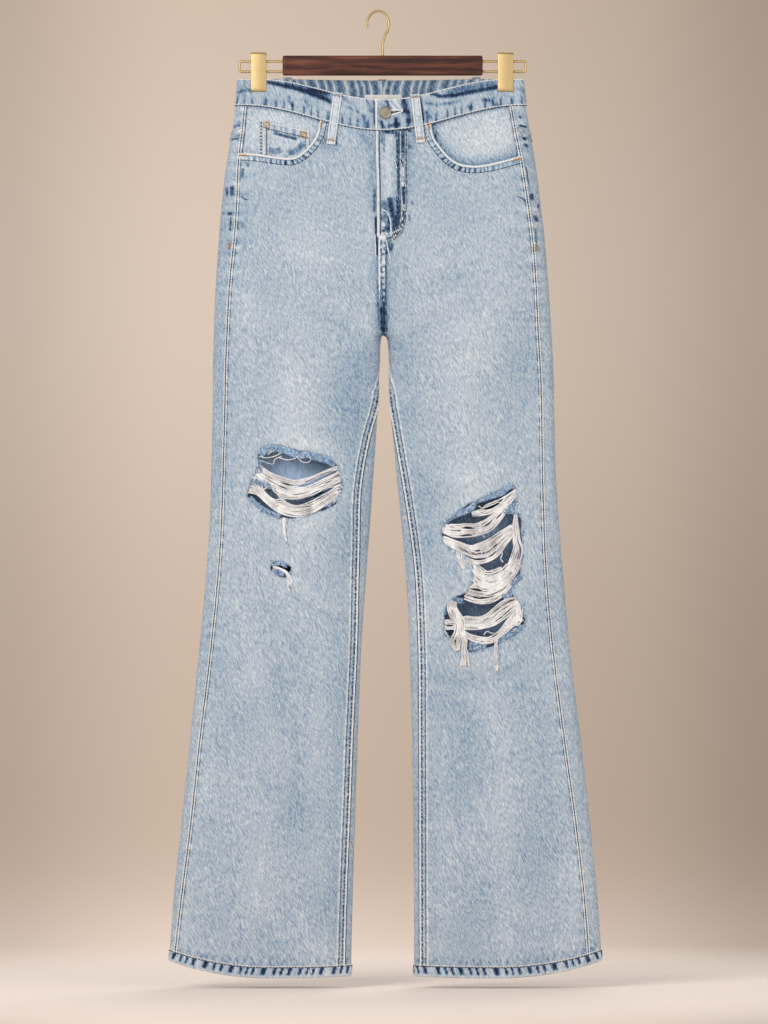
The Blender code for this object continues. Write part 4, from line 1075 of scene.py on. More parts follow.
# Drops, and how far the inseam is still behind the leg there, in mm
INSEAM_TURN = ((340, 353, 371), (-6.8, -4.6, 0.0))
white_rows, tan_rows, dark_rows, brown_rows = [], [], [], []
for side, sign in (("left", 1), ("right", -1)):
    end = hem_drop(side, seam_x(side, "outseam", HEM)) / MM - 12
    drop = np.arange(33, end, SEAM_STEP) * MM
    line = np.stack([seam_x(side, "outseam", drop), drop], axis=1)
    section = [(sign * a, h, c) for a, h, c in DOUBLE_ROW]
    fade = washed_under(side, line, section)
    swing = ripple(drop / MM, 15, SEED[side])[:, None]
    dark_side = np.array([s[0] * sign > 2.0 for s in section])
    fade = fade + np.where(dark_side, 0.22 * np.clip(swing - 0.2, -1, 0.9), 0.0)
    seam = strip("outseam_" + side, "front", side, line, section, 0.03, 15, 2.0, fade)
    white_rows.append(row_on("front", side, line, -1.35 * sign, 0.85))
    white_rows.append(row_on("front", side, line, 1.45 * sign, 0.95))
    end = hem_drop(side, seam_x(side, "inseam", HEM)) / MM - 12
    drop = np.arange(INSEAM_TURN[0][0], end, 1.4) * MM
    turned_in = np.interp(drop / MM, *INSEAM_TURN) * MM
    line = np.stack([seam_x(side, "inseam", drop) - sign * turned_in, drop], axis=1)
    section = [(-sign * a, h, c) for a, h, c in FELLED]
    fade = washed_under(side, line, section)
    across = np.array([s[0] for s in FELLED])
    t = drop[:, None] / MM
    seed = 1.1 if side == "left" else 3.9
    for low, high, deep, pitch in ((-2.0, 0.0, 1.0, 5.0), (2.4, 4.0, 0.5, 6.1)):
        beads = np.clip(ripple(t + 0.3 * across, pitch, seed + low), 0, 0.7)
        fade = fade - deep * beads * ((across > low) & (across < high))
    limit = outline(side + "_in", drop) + 0.1 * MM
    inner = strip("inseam_" + side, "front", side, line, section, 0.0, 11, 3.0, fade, None, limit)
    line = line[drop > 376 * MM]
    white_rows.append(row_on("front", side, line, 3.4 * sign, 1.0))
    dark_rows.append(row_on("front", side, line, 1.1 * sign, 0.6))
    brown_rows.append(row_on("front", side, line, -3.2 * sign, 0.62))
    for made in (seam, inner):
        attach(made, "root")
        with_panel["front", side].append(made)

# The crotch, below the fly, and the two yoke seams and the centre back
CROTCH_BAND = (
    (-4.2, -0.3, -0.2), (-4.3, 0.5, -0.3), (-3.4, 0.95, 0.1), (-2.2, 0.95, 0.1), (-0.8, 0.8, 0.05),
    (0.6, 0.8, 0.05), (2.0, 0.95, 0.05), (3.2, 0.95, 0.05), (4.2, 0.5, -0.35), (4.3, -0.3, -0.3),
)
line = np.stack([np.zeros(70), np.linspace(185, 302, 70)], axis=1) * MM
fade = washed_under("right", line, CROTCH_BAND)
# Paler in its upper part; from drop 250 it darkens to near black, which is painted shade between
# the legs.
fade = fade + 0.24 - 0.12 * ease(line[:, 1], 228 * MM, 246 * MM)[:, None]
fade = fade - 0.85 * ease(line[:, 1], 250 * MM, 266 * MM)[:, None]
made = strip("crotch_seam_front", "front", "right", line, CROTCH_BAND, 0.15, 8.5, 2.0, fade)
with_panel["front", "right"].append(made)
white_rows.append(row_on("front", "right", line[:45], -3.6, 1.1))
line = np.stack([np.zeros(130), np.linspace(40, 302, 130)], axis=1) * MM
back = strip("crotch_seam_back", "back", "right", line, CROTCH_BAND, 0.12, 10, 4.0)
with_panel["back", "right"].append(back)
tan_rows += [row_on("back", "right", line, shift, 0.95) for shift in (-2.8, 2.7)]
for seam in (made, back):
    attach(seam, "root")


def round_band(name, side, skin_rows, place, section, tone, ends=True, lift=None, pucker=None):
    """A closed band of cloth round the leg or the waist. Its section is a ring of (level, height,
    change of fade), and place turns a level into the drop at each column of the skin."""
    drops, found = skin_rows
    level, heights, changes = (np.array(v, float)[:, None] for v in zip(*section))
    drop = place(level)
    points, normals = at_drops(drops, found, drop)
    front = points[..., 1] < 0
    x = points[..., 0]
    raised = relief(side, front, x, drop)
    t = lengths_along(np.stack([points[0, :, 0], points[0, :, 1]], axis=1))[None, :]
    bumps = pucker(x, drop, front, t, level, heights) if pucker else 0.0
    points = points + normals * (raised + (heights + bumps) * MM)[..., None]
    if lift:
        points = lift(points)
    fade = tone(x, drop, front, t, level, heights) + changes
    loops = np.swapaxes(points, 0, 1)
    return closed_piece(name, loops, [denim], np.swapaxes(fade, 0, 1), ends)


def row_round(side, skin_rows, drop, height):
    """A row of points round the cloth, at a drop for each column and standing off it, in mm."""
    points, normals = at_drops(*skin_rows, drop)
    raised = relief(side, points[..., 1] < 0, points[..., 0], -points[..., 2])
    return points + normals * (raised[..., None] + height * MM)


YOKE_BAND = (
    (-5.2, -0.3, -0.2), (-5.3, 0.4, -0.3), (-4.4, 0.9, 0.1), (-2.6, 0.9, 0.05), (0.0, 0.75, -0.1),
    (2.6, 0.9, 0.0), (4.2, 0.85, 0.05), (5.1, 0.3, -0.35), (5.1, -0.3, -0.2),
)
for side in ("left", "right"):
    drops, found = back_skins[side]
    edge = np.linspace(YOKE[0], YOKE[1], BACK_COLUMNS)
    fine = np.linspace(0, BACK_COLUMNS - 1, 150)
    columns = range(BACK_COLUMNS)
    finer = np.array([[np.interp(fine, columns, row[:, k]) for k in range(4)] for row in found])
    rows_here = (drops, np.swapaxes(finer, 1, 2))
    edge = np.interp(fine, columns, edge)

    def yoke_tone(x, drop, front, t, below, heights, side=side):
        return washed(side, front, x, drop) + 0.10 * ripple(t + below, 10, 3.0) * (heights > 0.3)

    def beside_edge(below, edge=edge):
        return edge + below * MM

    made = round_band("yoke_seam_" + side, side, rows_here, beside_edge, YOKE_BAND, yoke_tone)
    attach(made, "root")
    with_panel["back", side].append(made)
    for shift in (-3.4, 3.3):
        tan_rows.append(row_round(side, rows_here, (edge + shift * MM)[None], 0.95)[0])

# ---------------------------------------------------------------------------------------------
# Hems: the cloth is folded twice and stitched 13 mm up with brown thread. The feed of the machine
# ropes it, so that slanting puckers keep their dark blue while the ridges between fade.

HEM_FOLD = (
    (-13.2, 0.0, 0.0), (-13.3, 0.5, 0.12), (-12.8, 0.85, 0.1), (-12.2, 0.62, -0.2),
    (-11.4, 0.9, 0.0),
    (-10.2, 1.15, 0.0), (-8.6, 1.25, 0.0), (-7.0, 1.3, 0.0), (-5.4, 1.3, 0.0), (-3.8, 1.25, 0.02),
    (-2.2, 1.1, 0.06), (-0.9, 0.85, 0.1), (-0.1, 0.3, 0.12), (0.2, -0.5, 0.08), (-0.1, -1.4, 0.0),
    (-1.0, -2.0, 0.0), (-4.0, -2.3, 0.0), (-8.0, -2.3, 0.0), (-12.2, -2.1, 0.0),
    (-12.8, -1.6, -0.1),
    (-12.9, -1.0, -0.2),
)
HEM_COLUMNS = 320
for side in ("left", "right"):
    rows_here = skin(side, "round", HEM_COLUMNS, trim=0)
    rows_here = (rows_here[0], rows_here[1][:, :-1])
    edge = hem_drop(side, rows_here[1][-3, :, 0])
    seed = SEED[side]

    def roping(t, below, seed=seed):
        return ripple(t + 0.3 * below, 10.0, seed)

    def above_hem(below, edge=edge):
        return edge + below * MM

    def hem_bumps(x, drop, front, t, below, heights, roping=roping):
        on_face = np.where(heights > 0.8, 1.0, 0.3) * ease(-below, 0.5, 3.0)
        on_face = on_face * ease(-below, 13.5, 11.0)
        return -0.38 * np.clip(roping(t, below), -0.6, 1) * on_face

    def hem_tone(x, drop, front, t, below, heights, side=side, roping=roping):
        found = washed(side, front, x, drop) + 0.04
        middle = ease(-below, 2.2, 5.0) * (1 - ease(-below, 11.0, 12.4)) * (heights > 0)
        high = 0.12 * ease(below, -7.0, -10.5)
        dark = 1.25 * np.clip(roping(t, below) - 0.22 + high, 0, 0.62) * middle
        return found - dark - 0.1 * (heights < -0.6)

    made = round_band("hem_" + side, side, rows_here, above_hem, HEM_FOLD, hem_tone, False, None,
                      hem_bumps)
    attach(made, "root")
    with_panel["front", side].append(made)
    row = row_round(side, rows_here, (edge - 12.2 * MM)[None], 0.95)[0]
    row = np.concatenate([row, row[:1]])
    sew("hem_stitches_" + side, [row], dark_brown_thread, 3.9, 3.2, 0.72)
    t = np.linspace(0, len(row) - 1, 4 * len(row))
    fine_row = np.stack([np.interp(t, range(len(row)), row[:, k]) for k in range(3)], axis=1)
    fine_row[:, 2] += 1.6 * MM
    sew("hem_edge_" + side, [fine_row], white_thread, 3.3, 3.2, 0.5)

# ---------------------------------------------------------------------------------------------
# Waistband and belt loops: a folded band with a stiffening, stitched along both edges. Its right
# end laps over the left one. The clips pinch it, so the front folds over beside them and the band
# puckers. Each loop is a strip with its edges turned in, bar-tacked at both ends.

BAND_ENDS = {"left": 22 * MM, "right": -9 * MM}
BAND_LIFT = (24 * MM, 48 * MM)
# Worn, dark or puckered places, partly painted shade in the folds' hollows and beside the lapped
# end: change, half width, then x, drop, x, drop…, in mm
BAND_DARKS = (
    (-0.62, 2.4, -134, 4, -100, 12, -76, 21, -62, 27), (-0.3, 4.5, -112, 6, -90, 10, -66, 19),
    (-0.22, 3, -86, 13, -62, 17), (-0.6, 2.2, 135, 10, 108, 15, 84, 20, 68, 21, 58, 18),
    (-0.28, 4.0, 132, 5, 104, 10, 80, 15), (-0.34, 2.2, 119, 24, 128, 26, 136, 32),
    (-0.25, 2.0, 52, 29, 66, 31, 78, 29, 88, 27), (-0.3, 1.6, 100, 33, 103, 35),
    (-0.28, 2.0, -170, 16, -160, 13, -154, 14), (-0.25, 2.0, 160, 12, 170, 16),
    (-0.28, 1.5, -110, 22, -110, 27, -107, 31), (-0.22, 1.8, -90, 27, -88, 32),
    (-0.2, 2.2, -46, 23, -40, 28), (-0.26, 1.6, -31, 36, -29, 40), (-0.24, 1.6, -40, 34, -36, 36),
    (-0.3, 2.4, -22, 44, -20, 58), (-0.5, 1.8, 5, 25, 8, 35), (-0.5, 2.6, 16, 48, 17, 57),
    (-0.4, 3.0, 26, 26, 32, 50), (-0.3, 2.2, 24, 25, 24, 40), (-0.5, 1.6, 44, 24, 47, 40, 48, 50),
    (-0.4, 2.0, 8, 56, 20, 54), (0.5, 0.9, -8.2, 26, -7.6, 54), (-0.5, 0.9, -10.2, 26, -9.6, 54),
    (-0.3, 2.6, -4, 50, 2, 58), (-0.5, 1.4, 25, 38, 30, 40), (-0.4, 1.5, 52, 40, 56, 46),
    (0.3, 1.3, 6.4, 23.6, 9, 32, 14.6, 36.6), (0.3, 1.3, 13.5, 23.6, 17, 31, 22.3, 37),
    (-0.2, 2.4, 62, 8, 70, 14), (-0.26, 2.6, -18, 26, -14, 38),
)


def band_level(side, columns_x, front):
    top = band_top(columns_x, front)
    low = band_low(columns_x, front)
    return lambda level: top + (low - top) * level


def band_lifted(points):
    """The right end stands forward, over the left one."""
    share = (1 - ease(points[..., 0], *BAND_LIFT)) * (points[..., 1] < 0)
    points[..., 1] -= (BAND + GAP) * share
    return points


BAND_COLUMNS = 300
waistbands = {}
OUTER_LEVELS = np.linspace(0.03, 0.97, 21)
BAND_SECTION = (
    [(0.0, -0.5, 0.12), (0.0, 0.1, 0.25), (0.012, 0.6, 0.15)]
    + [(level, 0.8, 0.0) for level in OUTER_LEVELS]
    + [(0.99, 0.5, -0.1), (1.0, 0.0, -0.25), (1.0, -1.2, -0.2), (0.98, -1.7, 0.0)]
    + [(level, -1.8, 0.0) for level in np.linspace(0.94, 0.06, 13)]
    + [(0.015, -1.4, 0.1)]
)
for side in ("left", "right"):
    end = BAND_ENDS[side]
    rows_here = skin(side, "round", BAND_COLUMNS, lambda drop, end=end: end)
    columns_x = rows_here[1][8, :, 0]
    front_columns = np.linspace(0, 1, BAND_COLUMNS) > 0.5
    place = band_level(side, columns_x, front_columns)
    seed = 2.3 if side == "left" else 5.1

    def band_folds(x, drop, front, t, level, heights, seed=seed):
        size = np.zeros(np.broadcast_shapes(np.shape(x), np.shape(heights)))
        for change, half, *line in BAND_DARKS:
            size += np.where(front, change * 1.6 * stroke(x, drop, line, half * 1.2), 0)
        upright = ripple(t + 1.5 * np.sin(level * 5 + seed), 11, seed)
        lower_down = np.where(heights > 0, ease(level, 0.1, 0.8), 1)
        size += np.where(front, 0.22, 0.5) * upright * lower_down
        return size * np.where(heights > 0, 1.0, 0.7) * (np.abs(heights) > 0.7)

    def band_tone(x, drop, front, t, level, heights, side=side, seed=seed):
        found = 0.68 + 0.05 * np.sin(t / 9 + 3 * level + seed) * np.sin(t / 23 - 2 * level)
        for change, half, *line in BAND_DARKS:
            dark = 1.25 * change * stroke(x, drop, line, half)
            found = found + np.where(front & (heights > 0), dark, 0)
        dashes = np.clip(ripple(t + 2 * level, 11, seed) - 0.45, 0, 1) * ease(level, 0.55, 0.8)
        found = found - np.where(heights > 0, 0.85 * dashes * (1 - ease(level, 0.93, 0.98)), 0)
        ridge = np.clip(ripple(t + 6 * level + 1.5 * np.sin(5 * level), 11, seed), -1, 1)
        lining = 0.46 + 0.16 * ridge + 0.35 * np.clip(ridge - 0.75, 0, 1) / 0.25
        back_face = np.where(heights > 0, found, lining)
        return np.where(front, found, back_face)

    lift = band_lifted if side == "right" else None
    made = round_band("waistband_cloth_" + side, side, rows_here, place, BAND_SECTION, band_tone,
                      True, lift, band_folds)
    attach(made, "root")
    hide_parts("waistband_" + side)
    waistbands[side] = made
    # The dark row at the band's lower edge stands for the painted shadow under that edge.
    edges = ((0.028, white_rows, 0.95), (0.955, white_rows, 0.95), (0.995, dark_rows, 0.7))
    for level, rows_of, height in edges:
        points = row_round(side, rows_here, place(np.array([[level]])), height)
        rows_of.append((lift(points) if lift else points)[0])


def on_band(side, x, drop, height):
    """Points standing off the front of the right or left waistband, in mm."""
    points, normals = on_cloth("front", side, x, drop, (0.8 + height) * MM)
    extra = lap_lift(side, x, drop)
    if side == "right":
        points[..., 1] += extra - (BAND + GAP) * (1 - ease(x, *BAND_LIFT))
    return points


end_drop = np.linspace(25.5, 59.5, 20) * MM
white_rows.append(on_band("right", np.full((1, 20), -7.6 * MM), end_drop[None], 0.2)[0])

LOOPS = (  # name, face, top and foot from the centre line, their drops, in mm
    ("belt_loop_front_left", "front", -52.6, -61.0, 16.5, 78.0),
    ("belt_loop_front_right", "front", 38.2, 45.0, 18.5, 76.0),
    ("belt_loop_back_left", "back", -112.0, -115.0, -2.0, 52.0),
    ("belt_loop_back_right", "back", 110.0, 113.0, -2.0, 52.0),
    ("belt_loop_back_middle", "back", 0.0, 0.0, 0.0, 56.0),
)
LOOP_SECTION = (
    (-5.0, 1.1, -0.2), (-5.25, 1.9, 0.05), (-4.9, 2.6, 0.2), (-3.9, 2.75, 0.2), (-3.1, 2.55, -0.22),
    (-2.4, 2.7, 0.05), (0.0, 2.75, 0.1), (2.4, 2.7, 0.05), (3.1, 2.55, -0.22), (3.9, 2.75, 0.2),
    (4.9, 2.6, 0.2), (5.25, 1.9, 0.05), (5.0, 1.1, -0.2), (0.0, 1.0, -0.2),
)
tack_rows = []
loops_made = []
for name, face, top_x, foot_x, top, foot in LOOPS:
    side = "left" if top_x < 0 else "right"
    down = np.linspace(0, 1, 46)
    line = np.stack([top_x + (foot_x - top_x) * down, top + (foot - top) * down], axis=1) * MM
    shifts, heights, changes = (np.array(v, float) for v in zip(*LOOP_SECTION))
    places = beside(line, shifts)
    over_edge = 0.35 * np.exp(-((down - 0.72) ** 2) / 0.01)
    thick_end = 0.5 * np.exp(-((down - 0.97) ** 2) / 0.0012)
    thick_end = thick_end + 0.4 * np.exp(-((down - 0.03) ** 2) / 0.002)
    height = heights + (over_edge + thick_end)[:, None] * (heights > 1.5)
    x, drop = places[..., 0], places[..., 1]
    points, _ = on_cloth(face, side, x, np.maximum(drop, 0), height * MM)
    points[..., 2] = -drop
    if side == "right" and face == "front":
        points[..., 1] -= (BAND + GAP) * (1 - ease(x, *BAND_LIFT)) - lap_lift(side, x, drop)
    marks = ripple(down * 60, 7, top_x)[:, None] * 0.04
    tone = 0.78 + changes + marks + np.zeros(x.shape)
    tone[-3:] += 0.12
    made = closed_piece(name + "_cloth", points, [denim], tone)
    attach(made, "root")
    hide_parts(name)
    loops_made.append((name, face, side, made))
    for column in (3, 9):
        white_rows.append(points[2:-2, column])
    for at, way in ((2, 1), (-4, -1)):
        for k in range(4):
            tack_rows.append(points[at + way * k // 2, 2:11])

# ---------------------------------------------------------------------------------------------
# Front pockets: a denim facing behind each mouth, whose edge is turned and stitched twice, and on
# the left a coin pocket with a rivet at each top corner.

FACING_INSIDE = 14 * MM
facings = {}
FACING_OFF = -1.7 * MM
for side, sign in (("left", -1), ("right", 1)):
    mouth = MOUTHS[side]
    share = np.linspace(0, 1, 64)
    row = np.linspace(0, 1, 48)[:, None]
    inner_x = mouth[0][0] * MM - sign * FACING_INSIDE
    top_x = np.linspace(sign * 170, inner_x / MM, 64) * MM
    top = band_low(top_x, True) - 2 * MM
    drop = top + (119 * MM - top) * row
    outer = seam_x(side, "outseam", drop)
    x = outer + (inner_x - outer) * share
    points, normals = on_cloth("front", side, x, drop, FACING_OFF)
    line = along(mouth, 2.0)
    near = np.min([np.hypot(x - px, drop - pd) for px, pd in line], axis=0) / MM
    # Darker close behind the mouth, most on the right, and in a line just under the band: painted
    # shade.
    fade = 0.78 - 0.26 * np.exp(-((near / 9) ** 2)) * (side == "right")
    fade = fade - 0.12 * np.exp(-((near / 7) ** 2))
    fade += 0.08 * stroke(x, drop, ((sign * 130, 60), (sign * 120, 76)), 22)
    fade -= 0.25 * np.exp(-(((drop - band_low(x, True)) / MM) ** 2) / 9)
    made = denim_layer("pocket_facing_cloth_" + side, points, normals, fade)
    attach(made, "root")
    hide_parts("pocket_facing_" + side)
    facings[side] = made

MOUTH_HEM = (
    (-0.9, -1.2, -0.2), (-1.2, -0.3, 0.1), (-0.9, 0.6, 0.25), (0.0, 1.05, 0.28), (1.2, 1.0, 0.28),
    (1.9, 0.6, -0.4), (2.7, 0.85, 0.0), (4.8, 0.95, 0.04), (7.0, 0.85, 0.02), (7.8, 0.55, -0.35),
    (8.6, 0.8, 0.04), (9.6, 0.5, 0.04), (9.9, 0.0, -0.12), (9.9, -0.3, -0.12), (4.0, -0.4, 0.0),
)
for side, sign in (("left", 1), ("right", -1)):
    line = along(MOUTHS[side], 1.4)
    line = line[np.abs(line[:, 0]) < np.abs(seam_x(side, "outseam", line[:, 1])) + 0.5 * MM]
    section = [(sign * a, h, c) for a, h, c in MOUTH_HEM]
    places = beside(line, [s[0] for s in section])
    x, drop = places[..., 0], places[..., 1]
    t = lengths_along(line)[:, None]
    across = np.array([s[0] * sign for s in section])
    fade = washed(side, True, x, drop)
    band = ((across > 2.2) & (across < 8.2)).astype(float)
    low_part = np.exp(-(((t - t.max() * 0.47) / (t.max() * 0.26)) ** 2))
    ladder = np.clip(ripple(t + 0.2 * across, 5.4, 2.0) + 0.1, 0, 1)
    fade = fade + 0.04 - band * ladder * (0.2 + 0.6 * low_part)
    made = strip("pocket_mouth_" + side, "front", side, line, section, 0.0, 5.4, 2.0, fade)
    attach(made, "root")
    with_panel["front", side].append(made)
    white_rows.append(row_on("front", side, line, 0.3 * sign, 1.2))
    white_rows.append(row_on("front", side, line, 1.1 * sign, 1.15))
    dark_rows.append(row_on("front", side, line, 7.8 * sign, 0.6))
    for at in (3, len(line) - 4):
        span = line[max(0, at - 3) : at + 3]
        for shift in (0.6, 1.6, 2.6):
            tack_rows.append(row_on("front", side, span, sign * shift, 1.35))

COIN_POCKET = (-141, -86.5, 49, 62)  # its two sides, and its top's two drops, in mm
RIVETS = ((-136.6, 53.8), (-93.0, 66.0))
RIVET_R = 2.8
COIN_OFF = -0.15 * MM
mouth_line = along(LEFT_MOUTH, 1.0)[::-1]
across = np.linspace(0, 1, 46)
x = (COIN_POCKET[0] + (COIN_POCKET[1] - COIN_POCKET[0]) * across)[None, :] * MM
top = (COIN_POCKET[2] + (COIN_POCKET[3] - COIN_POCKET[2]) * across)[None, :] * MM
feet = np.interp(x, mouth_line[:, 0], mouth_line[:, 1]) - 0.3 * MM
down = np.linspace(0, 1, 36)[:, None]
drop = top + (feet - top) * down
x = np.broadcast_to(x, drop.shape)
from_top = (drop - top) / MM
from_left = x / MM - COIN_POCKET[0]
from_right = COIN_POCKET[1] - x / MM
edge = np.minimum(np.minimum(from_top, from_left), from_right)
swell = 0.35 * np.exp(-((edge - 1.2) ** 2) / 1.2) - 0.4 * np.exp(-(edge**2) / 0.4)
hem = 0.25 * (1 - ease(from_top, 7.6, 8.8)) - 0.35 * np.exp(-((from_top - 8.9) ** 2) / 0.5)
points, normals = on_cloth("front", "left", x, drop, COIN_OFF + (swell + hem) * MM)
tone = 0.77 + 0.14 * np.exp(-((edge - 1) ** 2) / 1.0)
# Painted shade in the groove under the hem fold.
tone -= 0.5 * np.exp(-((from_top - 9.3) ** 2) / 0.8) * np.clip(ripple(x / MM, 9, 1) + 0.5, 0, 1)
tone -= 0.28 * (from_top < 7.5) * (from_top > 1.5) * np.clip(ripple(x / MM, 9.5, 2.2), 0, 1)
tone -= 0.25 * np.exp(-((from_left - 4.6) ** 2) / 1.0) * (from_top > 9)
# Painted shade along the foot, under the mouth's edge.
tone -= 0.3 * np.exp(-((feet - drop) / MM) ** 2 / 20) * np.clip(ripple(x / MM, 17, 3.4), 0, 1)
made = denim_layer("coin_pocket_cloth", points, normals, tone)
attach(made, "root")
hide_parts("coin_pocket")
coin_pocket = made


def row_at(places, height, face="front", side="left", step=1.5):
    """A row of points on the cloth through places in mm, standing off it."""
    line = along(places, step, smooth=False)
    return on_cloth(face, side, *line.T[:, None], height * MM)[0][0]


# The dark row at x -143.5, on the cloth just left of the coin pocket, is the painted shadow of its
# edge.
for rows, height, *places in (
    (white_rows, 0.25, -140, 51, -140, 89.5), (white_rows, 0.35, -140, 50.6, -87.4, 62.9),
    (white_rows, 0.25, -87.6, 63, -87.6, 80), (brown_rows, 0.15, -137, 58.5, -137, 89.5),
    (brown_rows, 0.2, -140, 57.9, -87.5, 70.4), (brown_rows, 0.15, -91, 71, -91, 82),
    (dark_rows, 0.0, -143.5, 52, -143.5, 88),
):
    rows.append(row_at(places, height))
for x, drop in RIVETS:
    corners = [(x - 3.6, drop - 3.8), (x + 3.6, drop - 2.4), (x + 3.6, drop + 4.2),
               (x - 3.6, drop + 3.2)]
    tack_rows.append(row_at(corners + corners[:1], 0.5, step=1.0))


def turned(name, profile, place, finish, node, steps=36):
    """A turned metal piece along -Y. Its profile is (radius, height) in mm, from behind."""
    rings = np.array(profile)
    angles = np.linspace(0, 2 * math.pi, steps, endpoint=False)
    points = np.empty((len(rings), steps, 3))
    points[..., 0] = place[0] + rings[:, :1] * np.cos(angles) * MM
    points[..., 1] = place[1] - rings[:, 1:] * MM
    points[..., 2] = place[2] + rings[:, :1] * np.sin(angles) * MM
    made = closed_piece(name, points, [finish], np.zeros(points.shape[:2]))
    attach(made, "root")
    if node:
        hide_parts(node)
    return made


def satin_metal(name, colour, worn, roughness, grit):
    """A plated or brushed metal with a satin face: soft highlights, broken by fine scratches of
    about 0.2 mm, drawn at the size given in mm, and slightly darker where handling dulls it."""
    made, tree, shader, place = blank_finish(name)
    brushed = add(tree, "Mapping", Vector=place,
                  Scale=(1 / (grit * MM), 1 / (grit * MM), 1 / (6 * grit * MM)))
    lines = add(tree, "TexNoise", Vector=brushed, Scale=1, Detail=3)
    patches = add(tree, "TexNoise", Vector=place, Scale=1 / (9 * MM), Detail=3)
    tint = add(tree, "Mix", data_type="RGBA", Factor_Float=patches, A_Color=worn, B_Color=colour)
    rough = add(tree, "MapRange", Value=lines, To_Min=roughness - 0.06, To_Max=roughness + 0.10)
    bump = add(tree, "Bump", Height=lines, Strength=0.12, Distance=0.1 * MM)
    put(shader, Base_Color=tint.outputs[2], Roughness=rough, Normal=bump, Metallic=1.0)
    return made


satin_brass = satin_metal("satin_lacquered_brass", "#cfba8a", "#c4b07f", 0.52, 0.5)
dull_rivet = satin_metal("dull_worn_rivet_brass", "#c6bba4", "#a5977d", 0.5, 0.5)
aged_nickel = satin_metal("matt_taupe_plated_zamak", "#9b978a", "#85827a", 0.5, 0.6)
RIVET_PROFILE = ((0.4, -0.3), (RIVET_R, -0.3), (RIVET_R, 0.2), (2.5, 0.7), (1.9, 1.0), (1.5, 0.95),
                 (1.2, 0.75), (0.6, 0.8), (0.05, 0.85))
for number, (x, drop) in enumerate(RIVETS, 1):
    place = on_cloth("front", "left", np.array([[x * MM]]), np.array([[drop * MM]]),
                     0.25 * MM)[0][0, 0]
    turned("coin_rivet_%d_cap" % number, RIVET_PROFILE, place, dull_rivet,
           "coin_rivet_%d" % number, 24)

# ---------------------------------------------------------------------------------------------
# Fly, button and label: the right front laps over the left one and is held by a curved double row
# of stitches. A shank button goes through a bar-tacked buttonhole, and a blank woven tape is sewn
# inside the back of the waistband.

FLY_EDGE = (
    (-0.7, -1.2, -0.1), (-0.9, -0.2, 0.1), (-0.6, 0.6, 0.28), (0.2, 0.9, 0.3), (1.4, 0.85, 0.28),
    (2.2, 0.6, -0.2), (3.0, 0.35, -0.45), (3.8, 0.1, -0.35), (3.8, -0.3, -0.3),
)
line = along([(-6.9, 60), (-6.9, 90), (-6.0, 119), (-5.6, 150), (-5.5, 187)], 2.0)
made = strip("fly_edge", "front", "right", line, FLY_EDGE, 0.04, 9, 2.0,
             np.full((len(line), 9), 0.74))
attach(made, "root")
with_panel["front", "right"].append(made)
white_rows.append(row_on("front", "right", line, 0.3, 1.0))
brown_rows.append(row_on("front", "right", line, 2.6, 0.45))
J_OUTER = (
    28.2, 61, 28.2, 119.2, 28.6, 146, 27.2, 158, 26.4, 171, 22.2, 182.3, 14, 189.4, 8, 192.6,
     4, 193.4,
)
J_INNER = (
    19.9, 61, 19.9, 119.2, 21.2, 148.7, 20.4, 166, 17.4, 180, 11.6, 187, 6, 189.6,
)
J_RIDGE = (
    (-2.0, -0.3, -0.3), (-1.8, 0.3, -0.3), (-0.8, 0.55, -0.2), (0.0, 0.35, -0.42),
    (0.8, 0.55, 0.02),
    (1.9, 0.3, 0.05), (2.1, -0.3, 0.0),
)
for number, places in enumerate((J_INNER, J_OUTER)):
    line = along(places, 1.8)
    ridge = [(a, h, c * (1.2 if number == 0 else 0.55)) for a, h, c in J_RIDGE]
    made = strip("fly_stitching_%d" % number, "front", "right", line, ridge, 0.14, 7, 3.0)
    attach(made, "root")
    with_panel["front", "right"].append(made)
    brown_rows.append(row_on("front", "right", line, 0.0, 0.6))
for at in (182.9, 184.0):
    white_rows.append(row_at([(-5.4, at + 0.4), (4.6, at)], 1.2, side="right"))
